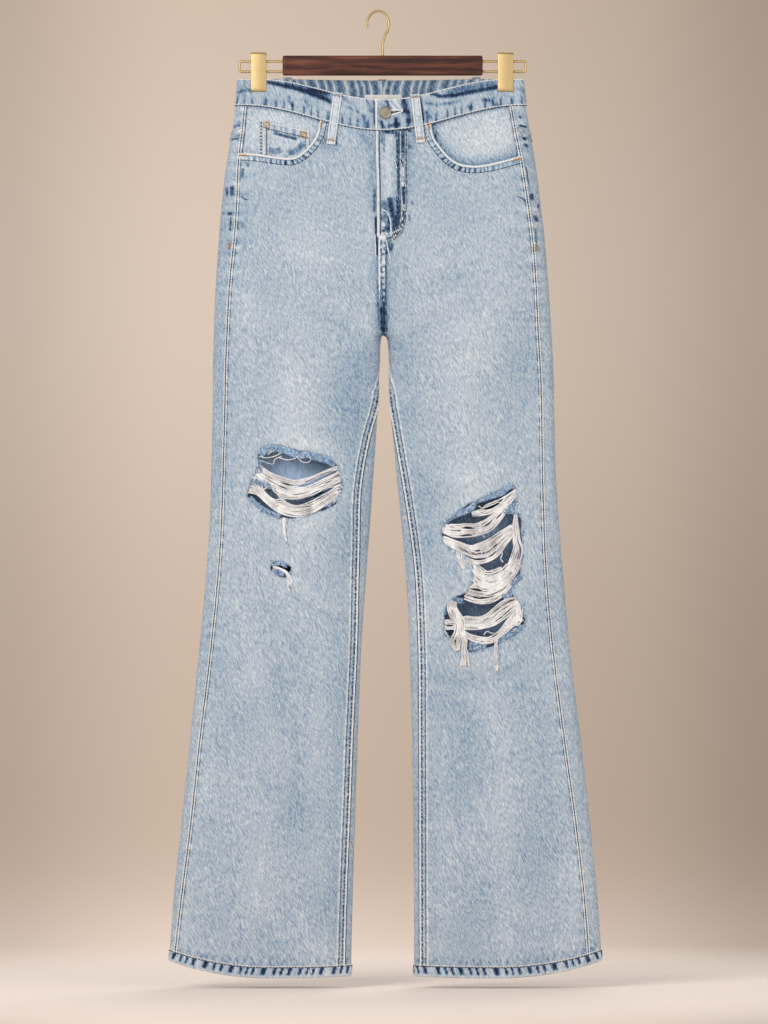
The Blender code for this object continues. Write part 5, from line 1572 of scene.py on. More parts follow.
# Dark and pale strips: folds that kept or lost their indigo, the darkest partly painted shade,
# beside the fly's lapped edge and curved stitching, the belt loops, the hip and yoke seams, and
# down
# the crotch between the legs: half width, shade, then x, drop, x, drop…, in mm
CREASE_AND_SHADE_STRIPS = {
    "right": [
        (2.4, 0.1, 16.4, 62, 16.2, 70), (1.5, 0.16, 17.4, 70, 17.4, 90, 17.8, 115),
        (1.4, 0.3, 17.8, 113, 18.2, 140), (2.2, 0.08, 17.6, 138, 17.8, 156, 16.6, 172),
        (3.4, 0.08, 8.2, 140, 10, 152, 12.6, 162, 14.2, 173, 13.6, 186),
        (3.2, 0.3, 1.0, 160, 3.6, 170, 5, 181), (1.5, 0.3, -1.6, 143, -1, 153),
        (1.4, 0.34, -0.8, 64, -0.8, 78), (1.1, 0.45, 2.2, 64, 1.6, 88),
        (2.3, 0.08, 23.6, 62, 23.6, 92), (1.9, 0.4, 23.5, 88, 24.4, 98),
        (1.7, 0.9, 24, 104, 24.4, 116), (2.2, 0.14, 24.4, 121, 25.4, 150),
        (2.4, 0.1, 25.6, 152, 24.6, 165, 21.4, 176), (2.4, 0.2, 20.4, 178, 16, 185, 9, 190.6),
        (2.2, 0.14, -2, 62.6, 6, 63.2, 14, 63.8), (2.4, 0.1, 21, 61, 34, 61.8),
        (1.4, 0.3, 30.4, 74, 30.8, 84), (1.6, 0.34, 34.6, 144, 35, 150),
        (1.5, 0.34, 31.4, 160, 31.8, 168), (1.8, 0.2, 8, 193, 6.6, 202, 5.6, 208),
        (1.8, 0.16, 61.6, 62, 62.6, 78), (1.5, 0.24, 46.2, 60, 47, 72),
        (3.2, 0.0, 1.2, 262, 1.4, 280, 1.4, 301), (0.8, 0.04, -1.9, 190, -1.7, 264),
        (0.8, 0.06, 3.5, 192, 3.6, 264), (1.2, 1.0, -3.8, 190, -3.8, 252),
        (0.8, 0.95, 4.1, 190, 6.6, 203, 9.6, 214), (1.6, 0.04, 3.6, 272, 4.2, 300),
        (1.2, 0.3, 2.2, 192, 2.4, 206), (4.2, 0.05, 13.6, 160, 16, 168, 16, 178, 13, 186),
        (3.2, 0.32, 2.2, 144, 3.6, 158, 4, 168),
        (0.9, 1.0, -2.1, 155.6, 2.8, 156, 5.2, 158.4, 9, 167, 10.3, 187),
        (0.8, 0.0, 18.5, 62, 18.5, 104, 18.7, 134, 19.6, 152, 19.0, 166, 16.6, 178),
        (1.4, 0.95, 23.2, 122, 24, 128), (2.0, 0.2, 22.6, 94, 22.8, 104),
        (0.9, 0.04, 152.8, 36, 155.2, 52), (1.5, 0.12, 155, 52, 158.8, 72, 161, 88),
        (2.0, 0.24, 160.6, 43, 163.4, 47), (1.3, 0.04, 160, 54.6, 170, 57.4),
        (2.0, 0.1, 163.6, 69, 170, 72), (2.0, 0.2, 165, 77.4, 171.4, 80),
        (1.0, 0.05, 162.4, 96, 166.8, 123, 169.6, 150), (0.8, 0.24, 168.6, 104, 172.6, 128),
        (2.6, 0.12, 174.6, 135, 176, 144), (0.9, 0.2, 158.6, 139, 165, 142, 168.6, 147),
        (1.3, 0.22, 183, 147, 183.4, 154), (2.4, 0.95, 176, 153.4, 183, 155.4),
        (2.3, 0.12, 179, 161, 181.6, 169), (1.3, 0.04, 171.8, 157, 173.8, 184, 177, 211),
        (0.9, 0.3, 179.6, 176, 181.4, 198), (2.6, 0.08, 6.4, 161, 7.4, 171, 7.2, 182),
        (1.2, 0.2, -1.6, 160, -1.4, 168), (2.2, 0.85, 0.2, 170, 2.0, 175.5),
        (1.5, 0.12, -1.6, 180, 4.5, 179.6), (1.2, 0.95, 23.6, 163.6, 23.3, 168),
        (1.1, 0.95, 23, 171, 22.7, 174), (0.8, 1.0, 22.4, 152.6, 26.6, 156.4),
        (1.0, 0.04, -4.6, 185.7, 4.2, 185.3), (2.3, 0.12, 11.2, 194, 10, 199, 8.8, 205),
        (1.6, 0.06, 3.6, 200, 5.0, 208.6), (2.5, 0.95, 1, 209.4, 1, 219.4),
        (1.6, 1.0, 0.4, 223.2, 1.8, 227.2), (1.5, 1.0, 0, 230.6, 2.2, 234),
        (1.6, 0.95, 0.8, 238.4, 0.8, 241.4), (1.5, 0.9, 1.2, 244.4, 1.4, 248),
        (1.2, 0.75, 1.6, 252, 2.2, 255.4), (0.9, 0.6, 2.0, 259, 0.8, 263),
        (1.0, 0.4, 0.6, 268, 2.4, 272),
    ],
    "left": [
        (1.7, 0.26, -9.6, 130, -9.9, 158), (1.4, 0.06, -8.3, 162, -8.0, 178, -7.0, 188, -6.4, 210),
        (1.8, 0.2, -55.6, 62, -54.8, 80), (1.4, 0.34, -73, 66, -69.5, 78),
        (3.2, 0.4, -135, 84, -126, 86, -119, 83.5), (3.2, 0.34, -112, 88.6, -101, 84.6, -93, 76),
        (1.7, 0.18, -128, 64, -112, 68.8, -101, 71.5), (1.2, 0.3, -5.8, 240, -6, 262, -5.4, 292),
        (0.8, 0.95, -8.9, 184, -8.6, 198, -8.0, 212), (2.0, 0.04, -2.2, 268, -2.2, 300),
        (0.9, 0.04, -160.9, 35, -164.3, 56, -166.6, 84),
        (1.5, 0.08, -168.4, 88, -169.6, 110, -170.4, 142), (1.8, 0.34, -164.6, 106, -164.8, 118),
        (0.9, 0.2, -167.4, 139, -163, 142, -158, 143.4), (2.6, 0.16, -177.4, 126, -177.2, 139),
        (1.8, 0.22, -184, 128, -182.6, 139), (1.8, 0.06, -188, 159, -186.6, 159.4),
        (2.0, 0.04, -183.4, 159.6, -177, 159.4), (0.9, 0.16, -178.6, 163, -180, 180),
        (1.2, 0.05, -171.6, 156, -173, 178, -175.2, 204), (2.0, 0.44, -167.6, 168, -164.6, 176),
        (1.0, 0.08, -177.6, 71.6, -169.6, 70.6), (1.5, 0.18, -175.4, 57, -168, 54.6),
        (1.6, 0.3, -160, 99, -158, 104),
    ],
}


def from_ends(line):
    """How many points away each point of a line is from its nearer end."""
    return np.minimum(np.arange(len(line)), np.arange(len(line))[::-1])


LADDER = (207, 221.5, 228.5, 235.5, 242.5, 249.5, 257)  # drops of the crotch band's puckers, in mm
CREASE_AND_SHADE_STRIPS["right"] += [(0.7, 0.04, -1.6, at + 0.8, 1, at, 3.4, at + 1.2) for at in LADDER]
ROUNDED = ((-1.2, -0.3), (-1.0, 0.3), (-0.5, 0.5), (0, 0.56), (0.5, 0.5), (1.0, 0.3), (1.2, -0.3))
for side, folds in CREASE_AND_SHADE_STRIPS.items():
    made = []
    for half, shade, *places in folds:
        line = along(places, 1.2)
        on_band_there = places[1] > 189 and abs(places[0]) < 4.3
        lift = (0.5 if on_band_there else 0.0) + (0.2 if shade > 0.5 or shade == 0 else 0.0)
        section = [(u * half, high + (lift if high > 0 else 0), 0) for u, high in ROUNDED]
        tone = shade + (0.62 - shade) * np.array([1, 0.6, 0.1, 0, 0.1, 0.6, 1])
        tone = tone + (0.62 - tone) * np.clip(0.8 - from_ends(line)[:, None] / 2, 0, 1)
        seed = 10 * half + shade
        made.append(strip("crease", "front", side, line, section, 0.08, 9.0, seed, tone))
    with_panel["front", side].append(joined("sharp_creases_" + side, made))
for places in ((23.6, 120, 27.2, 127), (22.4, 102, 22.6, 112), (14.4, 98, 16.6, 105)):
    white_rows.append(row_at(places, 1.0, side="right"))
for at in range(6):
    places = (10 + 2 * at, 183.4 - at, 11.4 + 2 * at, 190 - 2.4 * at)
    white_rows.append(row_at(places, 0.85, side="right"))

BUTTON = (2.8, 40.6)
BUTTON_PROFILE = (
    (1.5, 0.0), (1.5, 3.9), (6.5, 3.9), (7.1, 4.2), (7.5, 4.8), (7.5, 5.4), (7.1, 5.8), (6.6, 6.0),
    (6.2, 5.95), (5.9, 5.7), (5.4, 5.65), (3.6, 5.8), (1.8, 5.9), (0.05, 5.95),
)
under = on_cloth("front", "left", np.array([[-1 * MM]]), np.array([[BUTTON[1] * MM]]), 0.0)[0]
place = (BUTTON[0] * MM, under[0, 0, 1] - 1.1 * MM, -BUTTON[1] * MM)
turned("fly_button", BUTTON_PROFILE, place, aged_nickel, "waist_button")
for across in (-7.9, -6.9):
    drop = np.linspace(25.5, 57, 24)[None] * MM
    white_rows.append(on_band("right", np.full((1, 24), across * MM), drop, 0.3)[0])
hole_rows = []
for places in ((9.5, 37.6, 24.0, 37.5), (9.0, 43.8, 23.6, 38.9), (9.5, 40.4, 22.5, 38.4)):
    line = along(places, 1.0, smooth=False)
    hole_rows.append(on_band("right", *line.T[:, None], 0.45)[0])
thick = [np.full(len(row), (0.85 if k < 2 else 0.75) * MM) for k, row in enumerate(hole_rows)]
from_lines("buttonhole_edges", hole_rows[:2], yarn_tree, {"Sides": 6, "Yarn": white_thread},
           thick[:2])
from_lines("buttonhole_bar", hole_rows[2:], yarn_tree, {"Sides": 6, "Yarn": blue_thread}, thick[2:])

LABEL = (-21, 23, 18.2, 32.6)


def woven_tape(name):
    """Satin-woven polyester tape, cream white: smooth and slightly glossy, with fine ribs across
    of about 0.4 mm, drawn at 0.8 mm."""
    made, tree, shader, place = blank_finish(name)
    ribs = add(tree, "TexWave", bands_direction="Z", Vector=place, Scale=0.32 / (0.8 * MM),
               Distortion=0.6).outputs["Fac"]
    tint = add(tree, "Mix", data_type="RGBA", Factor_Float=ribs, A_Color="#ddd6cb",
               B_Color="#f3efe7")
    bump = add(tree, "Bump", Height=ribs, Strength=0.3, Distance=0.2 * MM)
    put(shader, Base_Color=tint.outputs[2], Normal=bump, Roughness=0.6)
    return made


tape = woven_tape("cream_woven_tape")
across = np.linspace(LABEL[0], LABEL[1], 28)[None, :]
down = np.linspace(LABEL[2], LABEL[3], 12)[:, None]
x, drop = (v * MM for v in np.broadcast_arrays(across, down))
points = np.empty(x.shape + (3,))
for k, side in enumerate(("left", "right")):
    here = (x[0] < 0) if side == "left" else (x[0] >= 0)
    points[:, here] = on_cloth("back", side, x[:, here], drop[:, here], -2.6 * MM)[0]
points[..., 1] -= (0.25 * np.sin(across / 6) + 0.2) * MM * np.ones(x.shape)
normals = np.zeros(points.shape)
normals[..., 1] = -1
made = piece("blank_label_tape", points.reshape(-1, 3), grid_faces(points, normals), [tape])
thicken(made, 0.5 * MM)
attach(made, "root")
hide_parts("waist_label")
label_piece = made

# ---------------------------------------------------------------------------------------------
# Torn knees: where the blue warp has worn through, the white weft yarns hang across the openings in
# sagging bundles. Some broke and hang down as tufts, and short blue and white fibres rim the edges.
# Near-black strands laid under the narrow gaps between them are painted shadow.

YARN_R = 0.5  # mm: a ring-spun weft yarn, worn and a little untwisted
# Off the cloth, yarns, the centre line's x, drop and half width in mm, and the gaps' start, end,
# place across and half width
BUNDLES = (
    (-1.1, 60, (-166, 468, 20, -149, 471, 20, -139, 479.5, 20, -124, 489, 21.5, -104, 495, 22,
     -86, 491.5, 21.5, -69, 483, 20.5, -51, 475, 20, -38, 471, 20), (0.52, 0.9, -0.66, 0.14,
     0.48, 0.7, -0.2, 0.05, 0.41, 0.85, 0.2, 0.17, 0.19, 0.36, 0.2, 0.22, 0.52, 0.66, 0.58, 0.06,
     0.36, 0.5, -0.68, 0.05, 0.34, 0.45, -0.46, 0.05, 0.55, 0.84, -0.46, 0.035,
     0.75, 0.86, -0.25, 0.06, 0.22, 0.36, -0.5, 0.05, 0.61, 0.75, -0.02, 0.04,
     0.17, 0.28, 0.62, 0.04)),
    (-0.6, 10, (-152, 481, 3.5, -140, 492, 4.5, -124, 503.5, 5, -104, 511, 5, -84, 508, 5,
     -66, 497, 4.5, -52, 488, 3), (0.45, 0.7, -0.2, 0.2)),
    (-0.8, 16, (159, 482, 1.2, 152, 492, 4.6, 141, 501, 5.6, 124, 509, 5.2, 105, 513, 2.4),
     (0.45, 0.8, -0.5, 0.34, 0.1, 0.24, 0.1, 0.16)),
    (-1.2, 34, (70, 529.5, 5.2, 84, 532.5, 8.0, 98, 532.5, 8.0, 111, 531.5, 6.8, 124, 526, 7.2,
     136, 515, 6.0, 146, 504, 3.2), (0.26, 0.47, -0.35, 0.2, 0.08, 0.22, -0.5, 0.12,
     0.2, 0.3, 0.05, 0.12, 0.56, 0.72, -0.1, 0.16, 0.36, 0.5, 0.12, 0.1, 0.75, 0.92, 0.2, 0.18,
     0.22, 0.42, 0.74, 0.07)),
    (-0.9, 44, (70, 543, 4.6, 84, 550, 6.8, 100, 558.5, 9.4, 112, 560.5, 12.2, 126, 556, 12.2,
     140, 543, 8.4, 155, 530, 6.0), (0.2, 0.36, 0.0, 0.09, 0.42, 0.52, -0.3, 0.16,
     0.38, 0.54, 0.5, 0.1, 0.6, 0.78, -0.35, 0.06, 0.66, 0.74, 0.1, 0.05, 0.3, 0.4, 0.5, 0.1,
     0.56, 0.68, 0.45, 0.08)),
    (0.2, 20, (157, 514, 1.6, 156.5, 528, 3.6, 158, 544, 4.4, 160, 556, 6.2, 156, 570, 7.0,
     152, 582, 6.4), (0.4, 0.56, -0.3, 0.14, 0.62, 0.8, -0.2, 0.16, 0.8, 0.95, 0.2, 0.1)),
    (-0.7, 46, (103, 570, 5.2, 106, 582, 9.0, 117, 592, 9.4, 130, 595, 9.0, 143, 588, 8.6,
     153, 577, 7.4, 163, 569, 4.2), (0.22, 0.32, 0.0, 0.09, 0.45, 0.6, 0.3, 0.06,
     0.58, 0.76, 0.46, 0.1, 0.62, 0.74, -0.3, 0.06, 0.12, 0.2, -0.4, 0.08)),
    (-0.5, 24, (107, 572.5, 2.6, 112, 580, 5.4, 120, 585.5, 6.2, 131, 585, 5.8, 142, 580, 4.4),
     (0.3, 0.42, 0.1, 0.14, 0.6, 0.7, -0.2, 0.12)),
    (-0.9, 34, (98, 604, 10.0, 108, 606.5, 11.0, 120, 607.5, 11.6, 132, 604, 10.6, 143, 596, 8.4,
     152, 588.5, 5.4), (0.06, 0.34, -0.35, 0.11, 0.4, 0.62, -0.5, 0.1, 0.14, 0.58, 0.42, 0.12,
     0.62, 0.78, -0.1, 0.05, 0.26, 0.38, 0.05, 0.06, 0.6, 0.84, 0.45, 0.06)),
    (-1.0, 40, (73, 643.5, 5.4, 86, 643, 6.2, 100, 642, 7.8, 114, 642, 7.4, 128, 637, 8.6,
     142, 626, 9.8, 153, 619, 8.0, 162, 615, 4.0), (0.0, 0.12, 0.2, 0.24, 0.28, 0.42, -0.75, 0.1,
     0.44, 0.56, -0.6, 0.06, 0.6, 0.66, -0.2, 0.06, 0.7, 0.74, 0.0, 0.06, 0.72, 0.92, 0.5, 0.06)),
    (-0.6, 26, (95, 652, 1.8, 104, 658.5, 3.8, 116, 661, 4.4, 128, 661, 3.8, 140, 653, 3.6,
     151, 641, 5.2, 161, 632, 8.0), (0.42, 0.6, -0.5, 0.2, 0.75, 0.9, 0.3, 0.07)),
    (-0.4, 16, (158, 611, 1.6, 160.5, 620, 3.6, 161.5, 632, 4.2, 158, 645, 2.4),
     (0.3, 0.45, 0.0, 0.1, 0.6, 0.8, -0.2, 0.08)),
    (1.2, 30, (84, 616, 3.2, 82, 623, 6.0, 85, 632, 6.6, 90.5, 643, 6.0, 90, 654, 5.8,
     86, 664, 6.2, 88, 674, 2.4), (0.14, 0.3, 0.1, 0.16, 0.6, 0.8, 0.3, 0.05)),
    (0.6, 24, (94, 651, 2.6, 96, 662, 3.6, 96, 673, 3.2, 97, 683, 4.4, 97, 692, 6.6),
     (0.7, 1.0, -0.3, 0.16, 0.78, 1.0, 0.35, 0.16)),
    (0.5, 7, (134, 660, 1.6, 133, 671, 1.2, 133.5, 684, 1.3, 134, 691, 2.0, 134.5, 698, 1.3), ()),
    (0.6, 11, (89, 557, 2.8, 90.4, 563, 3.1, 91.6, 569, 2.4, 94, 574, 1.9, 96, 578, 1.5), ()),
    (0.5, 7, (-116, 517.5, 1.5, -116.2, 525, 1.4, -116, 534, 1.2, -114.6, 541, 1.0,
     -113, 545, 0.6), ()),
    (0.4, 7, (-129, 576, 1.0, -120, 578, 1.3, -112.5, 583, 1.4, -110, 592, 1.5, -111.5, 599, 1.2,
     -109, 604, 0.7), ()),
)
# Single yarns that hang across the dark openings: off the cloth, then x, drop, x, drop…
LOOSE_YARNS = (
    (-0.2, -146, 445, -138, 447, -128, 445.5, -119, 441),
    (0.2, -122, 447, -112, 449.5, -104, 448, -101, 445.5),
    (0.2, -101, 446, -95, 451.5, -88, 452.5, -84.5, 449, -86, 444.5),
    (-0.2, -135, 443, -132, 440.5, -128, 439),
    (-0.6, -145, 450, -136, 453, -129, 454.5, -127, 449, -119, 445),
    (0.3, -154, 481, -148, 484.5, -140, 484, -136, 482),
    (-0.4, -108, 506, -98, 503.5, -86, 503, -79, 505), (0.2, 116, 535, 118, 538.5, 121, 541),
    (0.3, 117, 508, 121, 503, 129, 499.5), (-0.2, 113, 503.5, 117, 507, 113, 509.5),
    (0.2, 119, 655.5, 123, 651.5, 128, 653.5, 134, 654),
    (0.3, 138, 554, 141, 560, 139, 566, 142, 570),
    (0.1, 96, 634.5, 100, 633.5, 106, 636.5, 115, 636.5),
)
YARN_SEED = 29
draw = np.random.default_rng(YARN_SEED)


def spread_yarns(side, off, count, places, gaps):
    """The yarns of one bundle, in strands of three that wander together and part round its gaps:
    lines of (x, drop) and heights, in metres. Those under the cloth stop just past the torn edge.
    The slits are near-black strands laid under its narrow gaps, painted shadow there, with their
    radii."""
    middle = along(places, 2.2, size=3)
    gaps = list(np.reshape(gaps, (-1, 4)))
    steps = len(middle)
    s = np.linspace(0, 1, steps)
    heading = np.gradient(middle[:, :2], axis=0)
    heading /= np.linalg.norm(heading, axis=1, keepdims=True)
    across = np.stack([-heading[:, 1], heading[:, 0]], axis=1)
    if across[steps // 2, 1] < 0:
        across = -across
    wide = middle[:, 2].max()
    if wide > 15 * MM:
        across = np.tile([0.0, 1.0], (steps, 1))
    for _ in range(count // 2):
        start = draw.uniform(-0.1, 0.85)
        small = draw.uniform(0.3, 0.95) * MM / wide
        gaps.append((start, start + draw.uniform(0.1, 0.35), draw.uniform(-0.95, 0.95), small))
    found, slits = [], []
    for start, end, at, half in gaps:
        if half * wide < 2.4 * MM and off < 0:
            kept = (s > start + 0.02) & (s < end - 0.02)
            if kept.sum() > 3:
                slit = middle[kept, :2] + across[kept] * (at * middle[kept, 2])[:, None]
                slits.append((slit, np.full(len(slit), (off - 1.5) * MM),
                              max(0.45 * MM, 0.8 * half * wide)))
    for k in range(count):
        if k % 3 == 0:
            phase, pace = draw.uniform(0, 6.3, 3), draw.uniform(5, 14)
            sway, lift = draw.uniform(0.2, 0.7), draw.normal(0, 0.5)
            shift = draw.normal(0, 0.5) / count
        v = np.full(steps, -1 + 2 * (k + 0.5) / count + shift + 0.5 * (1 - k % 3) / count)
        for start, end, at, half in gaps:
            u = np.clip((2 * s - start - end) / (end - start), -1, 1)
            open_half = half * np.sqrt(1 - u * u)
            away, reach = v - at, 3.2 * half
            pushed = at + np.sign(away) * (open_half + np.abs(away) * (reach - open_half) / reach)
            v = np.where(np.abs(away) < reach, pushed, v)
        wander = sway * np.sin(s * pace + phase[0]) + 0.12 * np.sin(s * 31 + phase[1] + k)
        line = middle[:, :2] + across * (v * middle[:, 2] + wander * MM)[:, None]
        high = (off + lift + 0.3 * draw.normal() + 0.45 * np.sin(s * 9 + phase[2])) * MM
        if off < 0:
            near = np.zeros(steps, bool)
            for rip in RIPS[side]:
                near |= inside(rip, *line.T) | (nearest_on(rip, *line.T)[0] < 1.2 * MM)
            kept = np.flatnonzero(near)
            if len(kept) < 4:
                continue
            line, high = line[kept[0] : kept[-1] + 1], high[kept[0] : kept[-1] + 1]
        found.append((line, high))
    return found, slits


def laid(side, strands):
    """Points on the front for each of some lines of (x, drop) at heights off the cloth's face."""
    lines, heights = (np.concatenate(part) for part in zip(*strands))
    points = on_cloth("front", side, *lines.T[:, None], heights[None])[0][0]
    return np.split(points, np.cumsum([len(line) for line, _ in strands])[:-1])


# Cotton yarn, never dyed: warm white and matt, with a soft halo of fibres. Its twist is 0.8 mm long
# and would not show, so it is drawn at 1.4 mm.
weft, tree, shader, place = blank_finish("bleached_cotton_weft_yarn")
twist = add(tree, "TexNoise", Vector=place, Scale=1 / (1.4 * MM), Detail=2)
soiled = add(tree, "TexNoise", Vector=place, Scale=1 / (14 * MM), Detail=2)
mixed = add(tree, "Math", operation="MULTIPLY_ADD", Value=twist, Value_001=0.6, Value_002=soiled)
tint = add(tree, "ValToRGB", Fac=mixed)
stops(tint, [(0.5, "#b0aaa8"), (0.8, "#eae4e0"), (1.0, "#faf6f2")])
bump = add(tree, "Bump", Height=twist, Strength=0.5, Distance=0.3 * MM)
put(shader, Base_Color=tint, Normal=bump, Roughness=0.9, Specular_IOR_Level=0.2, Sheen_Weight=0.2)

# Near-black strands under the bundles' narrow gaps: painted shadow in the gaps.
shadow_strand_thread = sewing_thread("painted_shadow_strand", "#131b29", "#0a0f18")
yarns = {"left": [], "right": []}
slits = {"left": [], "right": []}
for off, count, places, gaps in BUNDLES:
    side = "left" if places[0] < 0 else "right"
    white, dark = spread_yarns(side, off, count, places, gaps)
    yarns[side] += white
    slits[side] += dark
for off, *places in LOOSE_YARNS:
    line = along(places, 1.2)
    yarns["left" if places[0] < 0 else "right"].append((line, np.full(len(line), off * MM)))
for side in ("left", "right"):
    rows = laid(side, yarns[side])
    thick = [np.full(len(row), YARN_R * draw.uniform(0.75, 1.5) * MM) for row in rows]
    values = {"Sides": 5, "Yarn": weft}
    made = from_lines("weft_yarns_" + side, rows, yarn_tree, values, thick)
    with_panel["front", side].append(made)
    rows = laid(side, [slit[:2] for slit in slits[side]])
    ends = [np.minimum(1, from_ends(row) / 3 + 0.25) for row in rows]
    thick = [slit[2] * end for slit, end in zip(slits[side], ends)]
    values = {"Sides": 4, "Yarn": shadow_strand_thread}
    made = from_lines("dark_warp_yarns_" + side, rows, yarn_tree, values, thick)
    with_panel["front", side].append(made)

# Fibres, longest and half width in mm, whether a rim of bare warp lies there, then x, drop…
FRINGES = (
    (150, 4.5, 4.0, 1, -144.7, 443, -137.2, 437.5, -124.8, 435.6, -112.4, 438.7, -98.7, 443.7,
     -88.8, 443.1, -75.1, 446.8, -62.7, 450.5, -55.3, 454.8),
    (30, 4.0, 1.2, 0, -148, 447, -147, 457, -149, 464),
    (80, 4.0, 3.0, 1, -157, 494, -148, 503, -134, 512, -121, 516.5),
    (26, 3.6, 1.8, 1, -68, 504, -60, 500, -52, 496),
    (80, 4.6, 3.6, 1, -153, 474, -142, 477, -134, 480),
    (30, 3.6, 2.0, 1, -136, 478, -130, 481.5, -126, 484.5),
    (40, 3.6, 2.4, 1, -146.5, 451, -145, 458, -143, 465),
    (40, 2.6, 1.3, 1, -52.4, 458, -49.4, 470, -49.6, 484, -53.5, 498),
    (36, 3.0, 1.2, 1, -111, 519, -112.4, 528, -113.4, 540, -111, 550, -107.3, 560),
    (30, 2.6, 1.3, 1, -108.5, 581, -110, 591, -109, 603),
    (24, 3.0, 1.2, 1, 137, 664, 138, 676, 137.5, 690),
    (46, 3.0, 1.9, 1, -130, 574, -122, 571.5, -113, 575),
    (50, 3.0, 3.4, 1, -129.5, 579, -123, 582, -115.5, 583.5),
    (90, 4.2, 3.2, 1, 72.4, 523, 81, 516.5, 94, 511.4, 104.4, 506.2, 107.8, 499.4),
    (80, 4.2, 3.0, 1, 107.8, 499, 118.2, 495, 130.3, 491.5, 140.7, 488, 149.4, 481, 155.4, 480),
    (60, 4.0, 2.4, 1, 142.5, 509.7, 151.1, 510.5, 162.3, 514.9),
    (40, 4.0, 3.8, 1, 149, 507, 153, 504, 157.5, 500),
    (50, 4.0, 4.2, 1, 142, 612, 149, 606.5, 155, 599),
    (30, 3.6, 1.0, 0, 165, 522, 165.5, 540, 165, 560, 163, 572),
    (30, 3.4, 2.0, 1, 75, 550.3, 81.5, 554.5, 87.9, 557.3),
    (24, 3.0, 1.4, 0, 106, 574, 105, 586, 110, 592),
    (60, 4.2, 2.8, 1, 163.2, 587, 157, 592, 151.1, 596.5),
    (54, 4.4, 2.8, 1, 71.5, 630.3, 79.3, 618.2, 85.3, 614.7, 94, 616.4),
    (30, 3.8, 1.6, 1, 71.5, 650, 73.5, 655, 78, 659),
    (80, 5.0, 4.6, 1, 102, 669.5, 110, 669.5, 121, 666),
    (90, 5.0, 3.4, 1, 166.7, 646.7, 151.1, 653.6, 144, 658, 137.3, 664),
    (40, 3.4, 1.2, 0, 166.7, 618.2, 167.5, 630, 167.5, 644.1),
)
frayed_warp = washed_denim("frayed_bare_warp", 0.9, (
    "#1f3250", "#3d5a84", "#6a8cb2", "#90abc8", "#bccbda", "#e6ebee"))
rims = {"left": [], "right": []}
fuzz = {("left", "blue"): [], ("left", "pale"): [], ("right", "blue"): [], ("right", "pale"): []}
SUNK = ((-1.15, -1.7, 0), (-1.15, -0.8, -0.1), (-0.5, -0.3, 0.06), (0.1, -0.35, -0.04),
        (0.6, -0.25, 0.08), (1.15, -0.8, -0.1), (1.15, -1.7, 0))
for number, (count, longest, half, rim, *places) in enumerate(FRINGES):
    side = "left" if places[0] < 0 else "right"
    line = along(places, 1.0)
    if rim:
        section = [(u * half, high, change) for u, high, change in SUNK]
        tone = np.full((len(line), 7), 0.55) + draw.normal(0, 0.09, (len(line), 7))
        rims[side].append(strip("rim", "front", side, line, section, 0.1, 3.6, number, tone,
                                frayed_warp))
    for _ in range(count):
        x, drop = line[draw.integers(len(line))] + draw.normal(0, 0.55 * half, 2) * MM
        lean = draw.normal(0, 0.75)
        steps = np.linspace(-0.5, 0.5, 4)[:, None] * draw.uniform(0.45, 1) * longest * MM
        curl = draw.normal(0, 0.35) * MM * (4 * np.linspace(-0.5, 0.5, 4) ** 2)[:, None]
        way = np.array([[math.sin(lean), math.cos(lean)]])
        fibre = np.array([[x, drop]]) + steps * way + curl * way[:, ::-1]
        kind = "blue" if draw.random() < 0.68 else "pale"
        fuzz[side, kind].append((fibre, np.full(4, draw.uniform(0.1, 0.6) * MM)))
for side in ("left", "right"):
    with_panel["front", side].append(joined("bare_warp_" + side, rims[side]))


def loose_fibre(name, dark, light):
    """Indigo-dyed cotton fibres, worn loose from the warp: matt and uneven in colour every 2 mm."""
    made, tree, shader, place = blank_finish(name)
    uneven = add(tree, "TexNoise", Vector=place, Scale=1 / (2 * MM), Detail=2)
    tint = add(tree, "Mix", data_type="RGBA", Factor_Float=uneven, A_Color=dark, B_Color=light)
    put(shader, Base_Color=tint.outputs[2], Roughness=0.9, Specular_IOR_Level=0.2)
    return made


loose_warp = loose_fibre("indigo_warp_fibres", "#3c5c86", "#93b0cd")
loose_weft = loose_fibre("white_weft_fibres", "#c7d3de", "#eef0f0")
for (side, kind), strands in fuzz.items():
    rows = laid(side, strands)
    thick = [np.array([0.12, 0.34, 0.34, 0.1]) * MM for _ in rows]
    values = {"Sides": 3, "Yarn": loose_warp if kind == "blue" else loose_weft}
    name = "frayed_edge_%s_%s" % (kind, side)
    made = from_lines(name, rows, yarn_tree, values, thick)
    with_panel["front", side].append(made)

# ---------------------------------------------------------------------------------------------
# Back pockets: a patch of the same denim on each side of the seat, with its mouth hemmed, its other
# edges turned in and stitched twice, and a tack at each top corner.

# Middle, top, half widths at the top and foot, and depth at the sides and the point, in mm
BACK_POCKET = (86, 128, 68, 58, 118, 143)
POCKET_OFF = 1.9
pocket_middle, pocket_top, half_top, half_foot, side_depth, point_depth = BACK_POCKET
pockets = {}


def on_pocket(sign, u, v, height):
    """Points on a back pocket: u is -1 to 1 across it and v is 0 to 1 down it."""
    half = half_top + (half_foot - half_top) * v
    depth = point_depth - (point_depth - side_depth) * np.abs(u)
    x = (sign * pocket_middle + u * half) * MM
    drop = (pocket_top + depth * v) * MM
    return on_cloth("back", "left" if sign < 0 else "right", x, drop, height * MM), x, drop


def pocket_row(sign, u, v, height):
    """A row of points on a back pocket, standing off its cloth in mm."""
    return on_pocket(sign, u[None], v[None], POCKET_OFF + height)[0][0][0]


